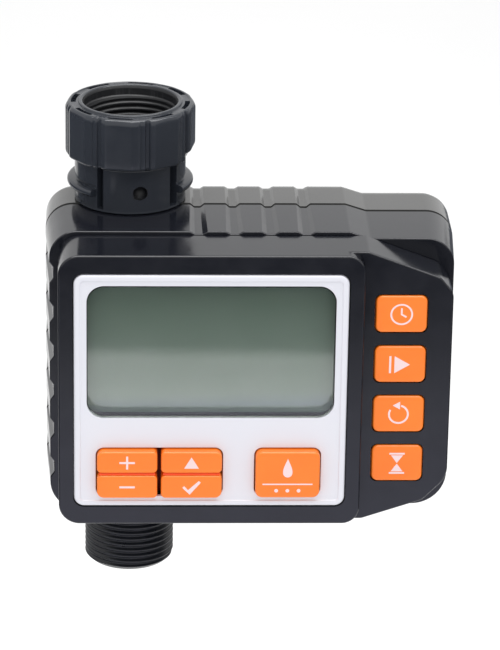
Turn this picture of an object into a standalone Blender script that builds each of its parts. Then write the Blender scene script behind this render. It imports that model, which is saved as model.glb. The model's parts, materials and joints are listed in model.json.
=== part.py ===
"""Single-outlet garden tap timer: a swivel nut, a motor-driven ball valve in a vertical water
column, and a two-part casing with a display and nine push buttons.

Frame: +X to the right of the front face, +Y to the back, +Z up. The origin is on the water
axis, where the lead-in of the swivel nut ends and its bore begins. Sizes below are in millimetres.
"""
import math

import bmesh
import bpy
from mathutils import Matrix, Vector

MM = 0.001
GAP = 0.3

# Water column
NUT_FOOT = -14.7
NUT_RIM = 0.9
NUT_SHOULDER = 0.55
NUT_BORE = 13.4
NUT_RADIUS = 18.7
NUT_LOBES = 8
NUT_LOBE_TURN = -11.8
THREAD_PITCH = 1.814
THREAD_CREST = 13.2
THREAD_ROOT = 12.1
COLLAR_RADIUS = 16.0
COLLAR_FLANGE = 18.2
COLLAR_TURN = 8.5
COLUMN_RADIUS = 14.4
NECK_RADIUS = 12.6
OUTLET_END = -142.8
OUTLET_BORE = 8.5

# Casing
TOP = -28.7
BOTTOM = -115.3
LEFT = -23.0
RIGHT = 92.0
SHOULDER_DROP = 1.95
SHOULDER_START = 62.0
SHOULDER_END = 68.0
BAND_FRONT = -28.7
PARTING_FRONT = -6.3
PARTING_REAR = -5.2
FLARE = 1.4
REAR_FLAT_END = 7.6
REAR_FILLET = 8.0
BACK = 15.6
WALL = 2.2
GROOVE_DEPTH = 1.1
TOP_GROOVES = (19.3, 29.5, 39.7, 49.9)
SIDE_GROOVES = tuple(-41.3 - 12.03 * step for step in range(6))

# Front block
FACE = -45.5
PANEL_FACE = -42.0
FACE_LEFT = -20.3
FACE_RIGHT = 65.7
FACE_TOP = -29.7
FACE_BOTTOM = -111.9
PANEL_RIGHT = 90.9
FRONT_WALL = 3.0

# Bezel, display and buttons
BEZEL = (-15.95, 61.3, -106.15, -35.35)
BEZEL_PROUD = 0.3
BEZEL_THICK = 1.5
WINDOW = (-12.3, 57.75, -78.9, -38.75)
KEY_TRAVEL = 0.8
KEY_PROUD = 2.2
SIDE_KEY_PROUD = 0.6
KEY_ROWS = {"top": (-95.1, -88.35), "low": (-102.7, -95.5)}
KEY_COLUMNS = {"left": (-9.4, 7.75), "right": (8.8, 26.1)}
PROGRAM_KEY = (35.7, 54.0, -102.6, -88.35)
SIDE_KEY_X = (69.1, 83.5)
SIDE_KEY_HEIGHT = 11.0
SIDE_KEY_NAMES = ("set_clock_button", "start_time_button", "how_often_button", "how_long_button")
SIDE_KEY_TOP = -48.25
SIDE_KEY_PITCH = 15.3

# Valve and gear train
BALL_Z = -71.0
BALL_RADIUS = 10.0
BALL_BORE = 5.5
CHAMBER_RADIUS = 10.6
PRESSURE_ANGLE = math.radians(25.0)
OUTPUT_TEETH = 32
PINION_TEETH = 8
OUTPUT_MODULE = 0.75
IDLER_MODULE = 0.6
IDLER_AT = (-4.0, -85.457)
MOTOR_AT = (-12.0, -94.401)
BACKLASH = 0.16

# Power
BATTERY_RADIUS = 7.1
BATTERY_LENGTH = 50.5
BATTERY_TOP = -42.8
BATTERY_Y = 4.5
BATTERY_X = (56.4, 71.6)
BOX = (46.2, 81.8, -99.2, -40.2)
SCREW_POINTS = (
    (-18.9, -47.3), (-18.9, -107.6), (31.0, -34.0), (31.0, -110.0), (87.3, -45.0), (87.3, -99.0))
COVER_SCREW_AT = (64.0, -103.6)

COLOURS = {
    "casing_black": ((0.030, 0.031, 0.034), 0.45, 0.0),
    "fitting_black": ((0.022, 0.023, 0.026), 0.35, 0.0),
    "bezel_white": ((0.80, 0.81, 0.86), 0.35, 0.0),
    "button_orange": ((0.95, 0.22, 0.03), 0.40, 0.0),
    "lens_clear": ((0.30, 0.34, 0.32), 0.08, 0.0),
    "display_grey": ((0.16, 0.20, 0.17), 0.25, 0.0),
    "frame_black": ((0.02, 0.02, 0.02), 0.6, 0.0),
    "board_green": ((0.03, 0.16, 0.07), 0.5, 0.0),
    "rubber_grey": ((0.12, 0.12, 0.12), 0.8, 0.0),
    "seal_black": ((0.015, 0.015, 0.015), 0.7, 0.0),
    "seat_white": ((0.75, 0.75, 0.72), 0.5, 0.0),
    "gear_white": ((0.82, 0.80, 0.74), 0.45, 0.0),
    "ball_chrome": ((0.70, 0.70, 0.72), 0.12, 1.0),
    "steel": ((0.55, 0.55, 0.57), 0.3, 1.0),
    "battery_wrap": ((0.05, 0.10, 0.25), 0.4, 0.0),
}


# ---------------------------------------------------------------- scene helpers
def fresh_collection(name):
    group = bpy.data.collections.new(name)
    bpy.context.scene.collection.children.link(group)
    return group


def make_materials():
    made = {}
    for name, (colour, roughness, metallic) in COLOURS.items():
        material = bpy.data.materials.new(name)
        material.use_nodes = True
        shader = material.node_tree.nodes["Principled BSDF"]
        shader.inputs["Base Color"].default_value = (*colour, 1.0)
        shader.inputs["Roughness"].default_value = roughness
        shader.inputs["Metallic"].default_value = metallic
        made[name] = material
    return made


for old in list(bpy.data.objects):
    bpy.data.objects.remove(old, do_unlink=True)
PARTS = fresh_collection("drip_irrigation_timer")
CUTTERS = fresh_collection("cutters")
MATERIALS = make_materials()


def keep(obj, name, material, pivot=(0.0, 0.0, 0.0)):
    """File a finished body among the parts, with its own name, material and origin."""
    obj.name = name
    obj.data.name = name
    obj.data.transform(Matrix.Translation(-Vector(pivot) * MM))
    obj.location = Vector(pivot) * MM
    obj.data.materials.clear()
    obj.data.materials.append(MATERIALS[material])
    for group in list(obj.users_collection):
        group.objects.unlink(obj)
    PARTS.objects.link(obj)
    obj.data.shade_smooth()
    obj.data.set_sharp_from_angle(angle=math.radians(35.0))
    return obj


def as_tool(obj):
    """File a body among the cutters, where it isn't rendered."""
    for group in list(obj.users_collection):
        group.objects.unlink(obj)
    CUTTERS.objects.link(obj)
    obj.hide_render = True
    obj.display_type = "WIRE"
    return obj


def combine(obj, tool, operation):
    step = obj.modifiers.new(operation.lower() + "_" + tool.name, "BOOLEAN")
    step.operation = operation
    step.solver = "EXACT"
    step.object = as_tool(tool)
    return obj


def cut(obj, *tools):
    for tool in tools:
        combine(obj, tool, "DIFFERENCE")
    return obj


def fuse(obj, *tools):
    for tool in tools:
        combine(obj, tool, "UNION")
    return obj


# ---------------------------------------------------------------- shape helpers
def mesh_object(name, bm):
    """A body from a closed mesh, its faces turned outward."""
    bmesh.ops.recalc_face_normals(bm, faces=bm.faces)
    if bm.calc_volume(signed=True) < 0:
        bmesh.ops.reverse_faces(bm, faces=bm.faces)
    mesh = bpy.data.meshes.new(name)
    bm.to_mesh(mesh)
    bm.free()
    obj = bpy.data.objects.new(name, mesh)
    bpy.context.scene.collection.objects.link(obj)
    return obj


def loft(name, rings):
    """A closed body through rings of equal point counts, capped at both ends."""
    bm = bmesh.new()
    rows = [[bm.verts.new(Vector(point) * MM) for point in ring] for ring in rings]
    count = len(rows[0])
    for near, far in zip(rows, rows[1:]):
        for index in range(count):
            after = (index + 1) % count
            bm.faces.new((near[index], near[after], far[after], far[index]))
    bm.faces.new(rows[0])
    bm.faces.new(list(reversed(rows[-1])))
    return mesh_object(name, bm)


def rounded(corners, steps=4):
    """Outline points of a polygon whose corners (a, b, radius) are rounded by arcs."""
    points = []
    count = len(corners)
    for index, (a, b, radius) in enumerate(corners):
        here = Vector((a, b))
        if radius <= 0:
            points.append((a, b))
            continue
        before = (Vector(corners[index - 1][:2]) - here).normalized()
        after = (Vector(corners[(index + 1) % count][:2]) - here).normalized()
        half = before.angle(after) / 2
        middle = here + (before + after).normalized() * (radius / math.sin(half))
        start = here + before * (radius / math.tan(half)) - middle
        end = here + after * (radius / math.tan(half)) - middle
        sweep = start.angle_signed(end)
        for step in range(steps + 1):
            turned_arm = start.copy()
            turned_arm.rotate(Matrix.Rotation(-sweep * step / steps, 2))
            points.append(tuple(middle + turned_arm))
    return points


def rectangle(box, radius=0.0, steps=3):
    left, right, low, high = box
    corners = [(left, high, radius), (right, high, radius), (right, low, radius), (left, low, radius)]
    return rounded(corners, steps)


def grown(box, margin):
    return (box[0] - margin, box[1] + margin, box[2] - margin, box[3] + margin)


def plate(name, outlines, near, far, along="Y", edge=0.0):
    """A flat body between two levels along an axis, from 2D outlines (the later ones are holes)."""
    curve = bpy.data.curves.new(name, "CURVE")
    curve.dimensions = "2D"
    curve.fill_mode = "BOTH"
    curve.extrude = (abs(far - near) / 2 - edge) * MM
    curve.bevel_depth = edge * MM
    curve.offset = -edge * MM
    curve.bevel_resolution = 0
    for outline in outlines:
        spline = curve.splines.new("POLY")
        spline.points.add(len(outline) - 1)
        spline.use_cyclic_u = True
        for point, (a, b) in zip(spline.points, outline):
            point.co = (a * MM, b * MM, 0.0, 1.0)
    drawn = bpy.data.objects.new(name, curve)
    bpy.context.scene.collection.objects.link(drawn)
    middle = (near + far) / 2 * MM
    if along == "Y":
        drawn.matrix_world = Matrix.Translation((0, middle, 0)) @ Matrix.Rotation(math.pi / 2, 4, "X")
    elif along == "X":
        drawn.matrix_world = Matrix.Translation((middle, 0, 0)) @ Matrix(
            ((0, 0, 1, 0), (1, 0, 0, 0), (0, 1, 0, 0), (0, 0, 0, 1)))
    else:
        drawn.matrix_world = Matrix.Translation((0, 0, middle))
    bpy.context.view_layer.update()
    evaluated = drawn.evaluated_get(bpy.context.evaluated_depsgraph_get())
    mesh = bpy.data.meshes.new_from_object(evaluated)
    mesh.transform(drawn.matrix_world)
    bm = bmesh.new()
    bm.from_mesh(mesh)
    bmesh.ops.remove_doubles(bm, verts=bm.verts, dist=0.00001)
    bpy.data.objects.remove(drawn, do_unlink=True)
    return mesh_object(name, bm)


def turned(name, profile, segments=40, along="Z", at=(0.0, 0.0, 0.0)):
    """A closed profile of (radius, level) points turned about an axis through a point."""
    mesh = bpy.data.meshes.new(name)
    points = [(radius * MM, 0.0, level * MM) for radius, level in profile]
    edges = [(index, index + 1) for index in range(len(points) - 1)]
    if profile[0][0] > 0 or profile[-1][0] > 0:
        edges.append((len(points) - 1, 0))
    mesh.from_pydata(points, edges, [])
    obj = bpy.data.objects.new(name, mesh)
    bpy.context.scene.collection.objects.link(obj)
    screw = obj.modifiers.new("turn", "SCREW")
    screw.axis = "Z"
    screw.steps = segments
    screw.render_steps = segments
    screw.use_merge_vertices = True
    screw.merge_threshold = 0.00001
    bpy.context.view_layer.update()
    evaluated = obj.evaluated_get(bpy.context.evaluated_depsgraph_get())
    body = bpy.data.meshes.new_from_object(evaluated)
    swing = {"Z": Matrix.Identity(4), "X": Matrix.Rotation(math.pi / 2, 4, "Y"),
             "Y": Matrix.Rotation(-math.pi / 2, 4, "X")}[along]
    body.transform(Matrix.Translation(Vector(at) * MM) @ swing)
    bpy.data.objects.remove(obj, do_unlink=True)
    bm = bmesh.new()
    bm.from_mesh(body)
    bmesh.ops.remove_doubles(bm, verts=bm.verts, dist=0.00001)
    return mesh_object(name, bm)


def cylinder(name, radius, near, far, along="Z", at=(0.0, 0.0), segments=24):
    """A cylinder between two levels along an axis; at holds the two other coordinates in order."""
    bm = bmesh.new()
    bmesh.ops.create_cone(bm, cap_ends=True, segments=segments, radius1=radius * MM,
                          radius2=radius * MM, depth=abs(far - near) * MM)
    middle = (near + far) / 2
    if along == "Z":
        place = Matrix.Translation(Vector((at[0], at[1], middle)) * MM)
    elif along == "X":
        place = Matrix.Translation(Vector((middle, *at)) * MM) @ Matrix.Rotation(math.pi / 2, 4, "Y")
    else:
        centre = Vector((at[0], middle, at[1])) * MM
        place = Matrix.Translation(centre) @ Matrix.Rotation(math.pi / 2, 4, "X")
    bm.transform(place)
    return mesh_object(name, bm)


def block(name, low, high, turn=0.0):
    """A box between two corners, then turned about the water axis."""
    bm = bmesh.new()
    bmesh.ops.create_cube(bm, size=1.0)
    size = [(b - a) * MM for a, b in zip(low, high)]
    centre = [(a + b) / 2 * MM for a, b in zip(low, high)]
    bm.transform(Matrix.Rotation(turn, 4, "Z") @ Matrix.Translation(centre) @ Matrix.Diagonal((*size, 1.0)))
    return mesh_object(name, bm)


def ring_profile(inner, outer, low, high):
    return [(inner, high), (outer, high), (outer, low), (inner, low)]


# ---------------------------------------------------------------- casing
def groove_opening(y):
    """Half widths of a top groove's floor and mouth, which widen towards the front."""
    share = min(1.0, max(0.0, (PARTING_FRONT - y) / (PARTING_FRONT - BAND_FRONT)))
    return 0.9 + 0.55 * share, 2.0 + share


def grooved_run(centres, level, depth, opening, flip):
    """Corner points of straight grooves along an edge, in the order of the centres."""
    floor, mouth = opening
    run = []
    for centre in centres:
        for offset, sunk in ((-mouth, 0), (-floor, depth), (floor, depth), (mouth, 0)):
            run.append((centre + offset * flip, level, sunk))
    return run


def casing_corners(y, inset=0.0, flare=0.0, scale=1.0):
    """Corners of the grooved casing outline, drawn in by inset and spread sideways by flare."""
    opening = groove_opening(y)
    left = LEFT - flare + inset
    right = RIGHT + flare - inset
    top = TOP - inset
    bottom = BOTTOM + inset
    depth = GROOVE_DEPTH * scale
    big = max(8.0 - inset, 1.5)
    corners = [(left, top, big)]
    for along, level, sunk in grooved_run(TOP_GROOVES, top, depth, opening, 1):
        corners.append((along, level - sunk, 0))
    corners += [(SHOULDER_START, top, 0), (SHOULDER_END, top - SHOULDER_DROP, 0)]
    corners += [(right, top - SHOULDER_DROP, big), (right, bottom + SHOULDER_DROP, big + 2)]
    corners += [(SHOULDER_END, bottom + SHOULDER_DROP, 0), (SHOULDER_START, bottom, 0)]
    for along, level, sunk in grooved_run(reversed(TOP_GROOVES), bottom, depth, opening, -1):
        corners.append((along, level + sunk, 0))
    corners.append((left, bottom, big + 1))
    for along, level, sunk in grooved_run(reversed(SIDE_GROOVES), left, depth, (1.6, 3.2), 1):
        corners.append((level + sunk, along, 0))
    return corners


def casing_ring(y, inset=0.0, flare=0.0, scale=1.0):
    return [(x, y, z) for x, z in rounded(casing_corners(y, inset, flare, scale), 5)]


def room_outline(side, draw=0.0):
    """Outline of the hollow inside the casing, a wall's thickness within its sides and drawn in further."""
    left = LEFT + side + draw
    right = RIGHT - side - draw
    top = TOP - 2.9 - draw
    bottom = BOTTOM + 2.9 + draw
    return rounded([
        (left, top, 6.0), (SHOULDER_START - 2, top, 0), (SHOULDER_END - 2, top - SHOULDER_DROP, 0),
        (right, top - SHOULDER_DROP, 6.0), (right, bottom + SHOULDER_DROP, 7.0),
        (SHOULDER_END - 2, bottom + SHOULDER_DROP, 0), (SHOULDER_START - 2, bottom, 0),
        (left, bottom, 6.0)], 4)


def room_ring(y, side, draw=0.0):
    return [(x, y, z) for x, z in room_outline(side, draw)]


def front_block_ring(y, inset=0.0):
    """Outline of the front block with its sloping shoulders at the right."""
    corners = [
        (FACE_LEFT + inset, FACE_TOP - inset, 6.0),
        (66.2, FACE_TOP - inset, 3.0),
        (87.2 - inset * 0.4, -37.4 - inset, 4.5),
        (PANEL_RIGHT - inset, -42.0 - inset, 5.0),
        (PANEL_RIGHT - inset, -99.0 + inset, 8.0),
        (84.0 - inset * 0.4, -106.0 + inset, 5.0),
        (66.2, FACE_BOTTOM + inset, 3.0),
        (FACE_LEFT + inset, FACE_BOTTOM + inset, 6.0),
    ]
    return [(x, y, z) for x, z in rounded(corners, 4)]


def main_face_ring(y, inset=0.0):
    box = (FACE_LEFT + inset, FACE_RIGHT - inset, FACE_BOTTOM + inset, FACE_TOP - inset)
    return [(x, y, z) for x, z in rectangle(box, 6.0 - inset, 5)]


def rear_ring(angle):
    """Rear casing outline at an angle round the fillet between its sides and its back."""
    inset = REAR_FILLET * (1 - math.cos(angle))
    y = REAR_FLAT_END + REAR_FILLET * math.sin(angle)
    centre = Vector(((LEFT + RIGHT) / 2, 0, (TOP + BOTTOM) / 2))
    shrink_x = 1 - inset / ((RIGHT - LEFT) / 2 + FLARE)
    shrink_z = 1 - inset / ((TOP - BOTTOM) / 2)
    return [(centre.x + (x - centre.x) * shrink_x, y, centre.z + (z - centre.z) * shrink_z)
            for x, _, z in casing_ring(0, 0, FLARE, 1 - math.sin(angle) * 0.8)]


def build_front_casing():
    shell = loft("front_casing", [
        casing_ring(BAND_FRONT, 0.4), casing_ring(BAND_FRONT + 0.4), casing_ring(PARTING_FRONT, 0, FLARE)])
    nose = loft("front_block", [
        front_block_ring(PANEL_FACE, 0.8), front_block_ring(PANEL_FACE + 0.25, 0.25),
        front_block_ring(PANEL_FACE + 0.8), front_block_ring(BAND_FRONT + 1.0)])
    face = loft("main_face", [
        main_face_ring(FACE, 0.8), main_face_ring(FACE + 0.25, 0.25),
        main_face_ring(FACE + 0.8), main_face_ring(PANEL_FACE + 1.5)])
    fuse(shell, nose, face)
    band_room = loft("band_room", [room_ring(y, WALL) for y in (BAND_FRONT + WALL, PARTING_FRONT + 5)])
    nose_room = plate("nose_room", [rounded([
        (FACE_LEFT + 2.0, FACE_TOP - 2.0, 5.0), (65.5, FACE_TOP - 2.0, 2.0), (85.8, -39.2, 3.0),
        (PANEL_RIGHT - 2.0, -43.0, 3.0), (PANEL_RIGHT - 2.0, -98.0, 6.0), (83.3, -103.9, 4.0),
        (65.5, FACE_BOTTOM + 2.0, 2.0), (FACE_LEFT + 2.0, FACE_BOTTOM + 2.0, 5.0)])],
        PANEL_FACE + WALL, BAND_FRONT + WALL + 1)
    face_room = plate("face_room", [rectangle(
        (FACE_LEFT + 2.0, FACE_RIGHT - 2.2, FACE_BOTTOM + 2.0, FACE_TOP - 2.0), 5.0)],
        FACE + FRONT_WALL, PANEL_FACE + WALL + 1)
    cut(shell, band_room, nose_room, face_room)
    cut(shell, plate("bezel_seat", [rectangle(grown(BEZEL, GAP), 2.6)], FACE - 1, FACE + BEZEL_THICK))
    wall_end = FACE + FRONT_WALL + 0.6
    cut(shell, plate("window_hole", [rectangle(grown(WINDOW, 0.4), 4.5)], FACE, wall_end))
    cut(shell, plate("cluster_hole", [rectangle(grown(cluster_box(), 0.6), 1.5)], FACE, wall_end))
    cut(shell, plate("program_hole", [rectangle(grown(PROGRAM_KEY, 0.6), 1.5)], FACE, wall_end))
    for name, box in side_key_boxes().items():
        cut(shell, plate(name + "_hole", [rectangle(grown(box, GAP), 1.6)], PANEL_FACE - 1, PANEL_FACE + 3))
    for index, at in enumerate(SCREW_POINTS):
        fuse(shell, cylinder(f"boss_{index}", 3.0, BAND_FRONT + 0.6, PARTING_FRONT - 0.02, "Y", at, 12))
    for index, at in enumerate(SCREW_POINTS):
        cut(shell, cylinder(f"pilot_{index}", 1.6, -24.0, PARTING_FRONT + 1, "Y", at, 8))
    cut(shell, cylinder("neck_notch", NECK_RADIUS + 0.4, TOP - 5, TOP + 2, "Z", (0, 0), 36))
    cut(shell, cylinder("outlet_notch", THREAD_CREST + 0.7, BOTTOM - 2, BOTTOM + 5, "Z", (0, 0), 36))
    return keep(shell, "front_casing", "casing_black")


def build_rear_casing():
    fillet = [rear_ring(math.radians(angle)) for angle in (0, 30, 60, 90)]
    shell = loft("rear_casing", [casing_ring(PARTING_REAR, 0, FLARE), *fillet])
    fuse(shell, cylinder("column_bulge", 17.5, BOTTOM + 1.0, TOP - 0.8, "Z", (0, 0), 36))
    cut(shell, block("bulge_front", (-30, -30, -130), (30, PARTING_REAR, 0)))
    room = loft("rear_room", [room_ring(y, 1.5, draw) for y, draw in (
        (PARTING_REAR - 5, 0), (REAR_FLAT_END, 0.4), (11.0, 2.2), (BACK - WALL, 6.0))])
    cut(shell, room)
    cut(shell, cylinder("column_room", 15.4, BOTTOM + 2.7, TOP - 3.2, "Z", (0, 0), 36))
    for index, at in enumerate(SCREW_POINTS):
        fuse(shell, cylinder(f"tube_{index}", 3.6, PARTING_REAR + 0.02, 9.5, "Y", at, 12))
        cut(shell, cylinder(f"clear_{index}", 1.7, PARTING_REAR - 1, 6.0, "Y", at, 8))
        cut(shell, cylinder(f"head_well_{index}", 2.8, 2.0, BACK + 3, "Y", at, 12))
    fuse(shell, cylinder("cover_boss", 3.4, 5.5, BACK - 1.0, "Y", COVER_SCREW_AT, 16))
    cut(shell, cylinder("cover_pilot", 1.8, 7.0, BACK + 1, "Y", COVER_SCREW_AT, 12))
    cut(shell, plate("battery_mouth", [rectangle(grown(BOX, 0.7), 3.0)], 10.0, BACK + 2))
    cut(shell, cylinder("rear_neck_hole", NECK_RADIUS + 0.4, TOP - 5, TOP + 2, "Z", (0, 0), 36))
    cut(shell, block("rear_neck_slot", (-13.0, -9, TOP - 5), (13.0, 0, TOP + 2)))
    cut(shell, cylinder("rear_outlet_hole", THREAD_CREST + 0.7, BOTTOM - 2, BOTTOM + 5, "Z", (0, 0), 36))
    cut(shell, block("rear_outlet_slot", (-13.75, -9, BOTTOM - 2), (13.75, 0, BOTTOM + 5)))
    return keep(shell, "rear_casing", "casing_black")


def build_casing_gaskets():
    """The seal between the casings, in two lengths that stop at the water column."""
    levels = (PARTING_FRONT + GAP, PARTING_REAR - GAP)
    for name, low, high in (("left_casing_gasket", -14.3, 120), ("right_casing_gasket", -60, 14.3)):
        strip = loft(name, [casing_ring(y, 0.7, FLARE) for y in levels])
        cut(strip, loft(name + "_room", [room_ring(y, 1.2) for y in (levels[0] - 1, levels[1] + 1)]))
        cut(strip, block(name + "_end", (low, -9, -130), (high, 0, 0)))
        keep(strip, name, "seal_black")


# ---------------------------------------------------------------- front panel pieces
def cluster_box():
    return (KEY_COLUMNS["left"][0], KEY_COLUMNS["right"][1], KEY_ROWS["low"][0], KEY_ROWS["top"][1])


def side_key_boxes():
    boxes = {}
    for index, name in enumerate(SIDE_KEY_NAMES):
        middle = SIDE_KEY_TOP - SIDE_KEY_PITCH * index
        boxes[name] = (*SIDE_KEY_X, middle - SIDE_KEY_HEIGHT / 2, middle + SIDE_KEY_HEIGHT / 2)
    return boxes


def build_bezel():
    outlines = [rectangle(BEZEL, 2.9), rectangle(WINDOW, 4.9, 4),
                rectangle(grown(cluster_box(), GAP), 1.4), rectangle(grown(PROGRAM_KEY, GAP), 1.8)]
    front = FACE - BEZEL_PROUD
    bezel = plate("display_bezel", outlines, front, front + BEZEL_THICK, edge=0.25)
    keep(bezel, "display_bezel", "bezel_white")


def build_display():
    lens_front = FACE - BEZEL_PROUD + 0.4
    keep(plate("display_lens", [rectangle(grown(WINDOW, -GAP), 4.6, 4)], lens_front, lens_front + 1.5),
         "display_lens", "lens_clear")
    frame_front = FACE + FRONT_WALL + GAP
    outlines = [rectangle(grown(WINDOW, 2.0), 1.5), rectangle(grown(WINDOW, -0.2), 3.0)]
    frame = plate("display_frame", outlines, frame_front, frame_front + 5.3)
    pocket = [rectangle(grown(WINDOW, 1.0), 0.5)]
    cut(frame, plate("display_pocket", pocket, frame_front + 1.3, frame_front + 7))
    keep(frame, "display_frame", "frame_black")
    keep(plate("display_panel", [rectangle(grown(WINDOW, 0.7), 0.5)], frame_front + 1.6, frame_front + 3.6),
         "display_panel", "display_grey")


def build_board():
    board = plate("circuit_board", [rounded([
        (-15.5, -38.0, 2.0), (66.0, -38.0, 0), (84.0, -44.0, 2.0), (84.0, -99.0, 2.0),
        (66.0, -106.0, 0), (-15.5, -106.0, 2.0)])], -36.4, -34.8)
    parts = [block("driver_chip", (20.0, -35.0, -70.0), (32.0, -32.6, -60.0)),
             block("clock_chip", (44.0, -35.0, -58.0), (52.0, -33.2, -50.0)),
             cylinder("smoothing_can", 3.2, -35.0, -26.5, "Y", (60.0, -90.0), 16),
             block("battery_plug", (68.0, -35.0, -76.0), (77.0, -29.0, -68.0))]
    keep(fuse(board, *parts), "circuit_board", "board_green")


def build_key(name, box, front, back, flange, outline_radius, crown):
    """A push button: a rounded cap, and a flange behind the wall that stops it falling out."""
    left, right, low, high = box
    rings = []
    for depth, draw in ((0.0, 1.0), (0.3, 0.35), (1.0, 0.0)):
        inset = draw * crown
        rings.append([(x, front + depth * crown, z) for x, z in rectangle(
            (left + inset, right - inset, low + inset, high - inset), outline_radius, 2)])
    rings.append([(x, back - 0.3, z) for x, z in rectangle(box, outline_radius, 2)])
    cap = loft(name, rings)
    fuse(cap, plate(name + "_flange", [rectangle(flange, 0.8, 2)], back - 0.6, back))
    keep(cap, name, "button_orange", ((left + right) / 2, front, (low + high) / 2))


def build_keys():
    front = FACE - BEZEL_PROUD - KEY_PROUD
    back = FACE + FRONT_WALL + 0.9
    cluster = grown(cluster_box(), 1.4)
    layout = {"plus_button": ("left", "top"), "minus_button": ("left", "low"),
              "up_button": ("right", "top"), "ok_button": ("right", "low")}
    for name, (column, row) in layout.items():
        box = (*KEY_COLUMNS[column], *KEY_ROWS[row])
        flange = (cluster[0] if column == "left" else box[0], cluster[1] if column == "right" else box[1],
                  cluster[2] if row == "low" else box[2], cluster[3] if row == "top" else box[3])
        build_key(name, box, front, back, flange, 1.3, 1.0)
    build_key("program_button", PROGRAM_KEY, front, back, grown(PROGRAM_KEY, 1.4), 1.6, 1.0)
    side_back = PANEL_FACE + WALL + 0.9
    for name, box in side_key_boxes().items():
        build_key(name, box, PANEL_FACE - SIDE_KEY_PROUD, side_back, grown(box, 1.0), 1.3, 0.8)


def build_mats():
    board_front = -36.4
    front_key_back = FACE + FRONT_WALL + 0.9
    mat_front = front_key_back + KEY_TRAVEL + 0.4
    side = side_key_boxes()
    low = min(box[2] for box in side.values())
    high = max(box[3] for box in side.values())
    side_front = PANEL_FACE + WALL + 0.9 + KEY_TRAVEL + 0.4
    main_box = (KEY_COLUMNS["left"][0], PROGRAM_KEY[1], KEY_ROWS["low"][0], KEY_ROWS["top"][1])
    side_box = (SIDE_KEY_X[0] - 0.8, SIDE_KEY_X[1] - 0.2, low + 1, high - 1)
    areas = {"keypad_mat": (grown(main_box, 1.0), mat_front), "side_keypad_mat": (side_box, side_front)}
    for name, (box, front) in areas.items():
        keep(plate(name, [rectangle(box, 1.5)], front, board_front - GAP), name, "rubber_grey")


# ---------------------------------------------------------------- water column
def thread_profile(crest, root, first, turns):
    """Zigzag of a thread's flanks along Z, from the first turn downwards."""
    points = []
    for turn in range(turns):
        level = first - THREAD_PITCH * turn
        points += [(root, level), (crest, level - THREAD_PITCH * 0.5)]
    return points


def nut_outline():
    shape = ((-20.0, -0.3), (-11.4, 0.0), (0.0, 0.0), (11.4, 0.0), (20.0, -0.3), (20.8, -0.7), (24.2, -0.7))
    points = []
    for lobe in range(NUT_LOBES):
        for offset, sunk in shape:
            angle = math.radians(NUT_LOBE_TURN + 360 / NUT_LOBES * lobe + offset)
            radius = NUT_RADIUS + sunk
            points.append((radius * math.sin(angle), -radius * math.cos(angle)))
    return points


def build_nut():
    nut = loft("swivel_nut", [
        [(x * scale, y * scale, z) for x, y in nut_outline()]
        for z, scale in ((NUT_SHOULDER, 0.96), (-0.7, 1.0), (NUT_FOOT + 0.5, 1.0), (NUT_FOOT, 0.975))])
    for lobe in range(NUT_LOBES):
        angle = math.radians(NUT_LOBE_TURN + 360 / NUT_LOBES * lobe)
        cut(nut, block(f"nut_pocket_{lobe}", (-2.8, -17.0, -1.0), (2.8, -15.6, 2.0), angle))
    fuse(nut, turned("nut_rim", ring_profile(12.5, 14.9, -3.0, NUT_RIM), 32))
    bore = [(0.0, 2.0), (13.75, 2.0), (13.75, NUT_RIM - 0.4), (NUT_BORE, 0.0), (NUT_BORE, -1.5),
            (12.2, -2.3)]
    bore += thread_profile(13.1, 12.2, -2.6, 4)
    bore += [(12.95, -10.3), (12.95, -12.9), (11.6, -12.9), (11.6, NUT_FOOT - 1), (0.0, NUT_FOOT - 1)]
    cut(nut, turned("nut_bore", bore, 32))
    keep(nut, "swivel_nut", "fitting_black")


def build_collar():
    collar = turned("neck_collar", [
        (12.9, -15.0), (15.7, -15.0), (COLLAR_RADIUS, -15.4), (COLLAR_RADIUS, -27.8), (16.5, -28.0),
        (16.5, -28.4), (12.9, -28.4)], 32)
    turn = math.radians(COLLAR_TURN)
    flange = turned("collar_flange", [
        (14.5, -21.9), (17.7, -21.9), (COLLAR_FLANGE, -22.4), (COLLAR_FLANGE, -23.4), (17.7, -24.0),
        (14.5, -24.0)], 32)
    cut(flange, block("flange_gap", (-13.4, -20, -30), (13.4, 20, -15), turn))
    fuse(collar, flange)
    cut(collar, block("narrow_slot", (-1.0, -20, -27.5), (1.0, 20, -10), math.radians(-32.5)))
    cut(collar, block("wide_slot", (-1.5, -20, -27.5), (1.5, 20, -10), math.radians(51.0)))
    dimple = cylinder("dimple", 2.0, -17.0, -15.1, "Y", (0, -22.0), 20)
    dimple.data.transform(Matrix.Rotation(math.radians(10.3), 4, "Z"))
    cut(collar, dimple)
    keep(collar, "neck_collar", "fitting_black")


def build_valve_body():
    body = turned("valve_body", [
        (8.0, -10.9), (11.8, -10.9), (12.4, -11.4), (12.4, -12.5), (11.2, -12.5), (11.2, -15.2),
        (NECK_RADIUS, -15.2), (NECK_RADIUS, -34.0), (COLUMN_RADIUS, -35.5), (COLUMN_RADIUS, -108.0),
        (CHAMBER_RADIUS, -108.0), (CHAMBER_RADIUS, -58.0), (8.0, -58.0)], 32)
    fuse(body, cylinder("stem_boss", 6.2, 12.0, 17.0, "X", (0, BALL_Z), 32))
    cut(body, cylinder("stem_hole", 3.1, 8.0, 18.0, "X", (0, BALL_Z), 24))
    cut(body, cylinder("seal_well", 5.1, 13.8, 18.0, "X", (0, BALL_Z), 24))
    keep(body, "valve_body", "fitting_black")


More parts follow.
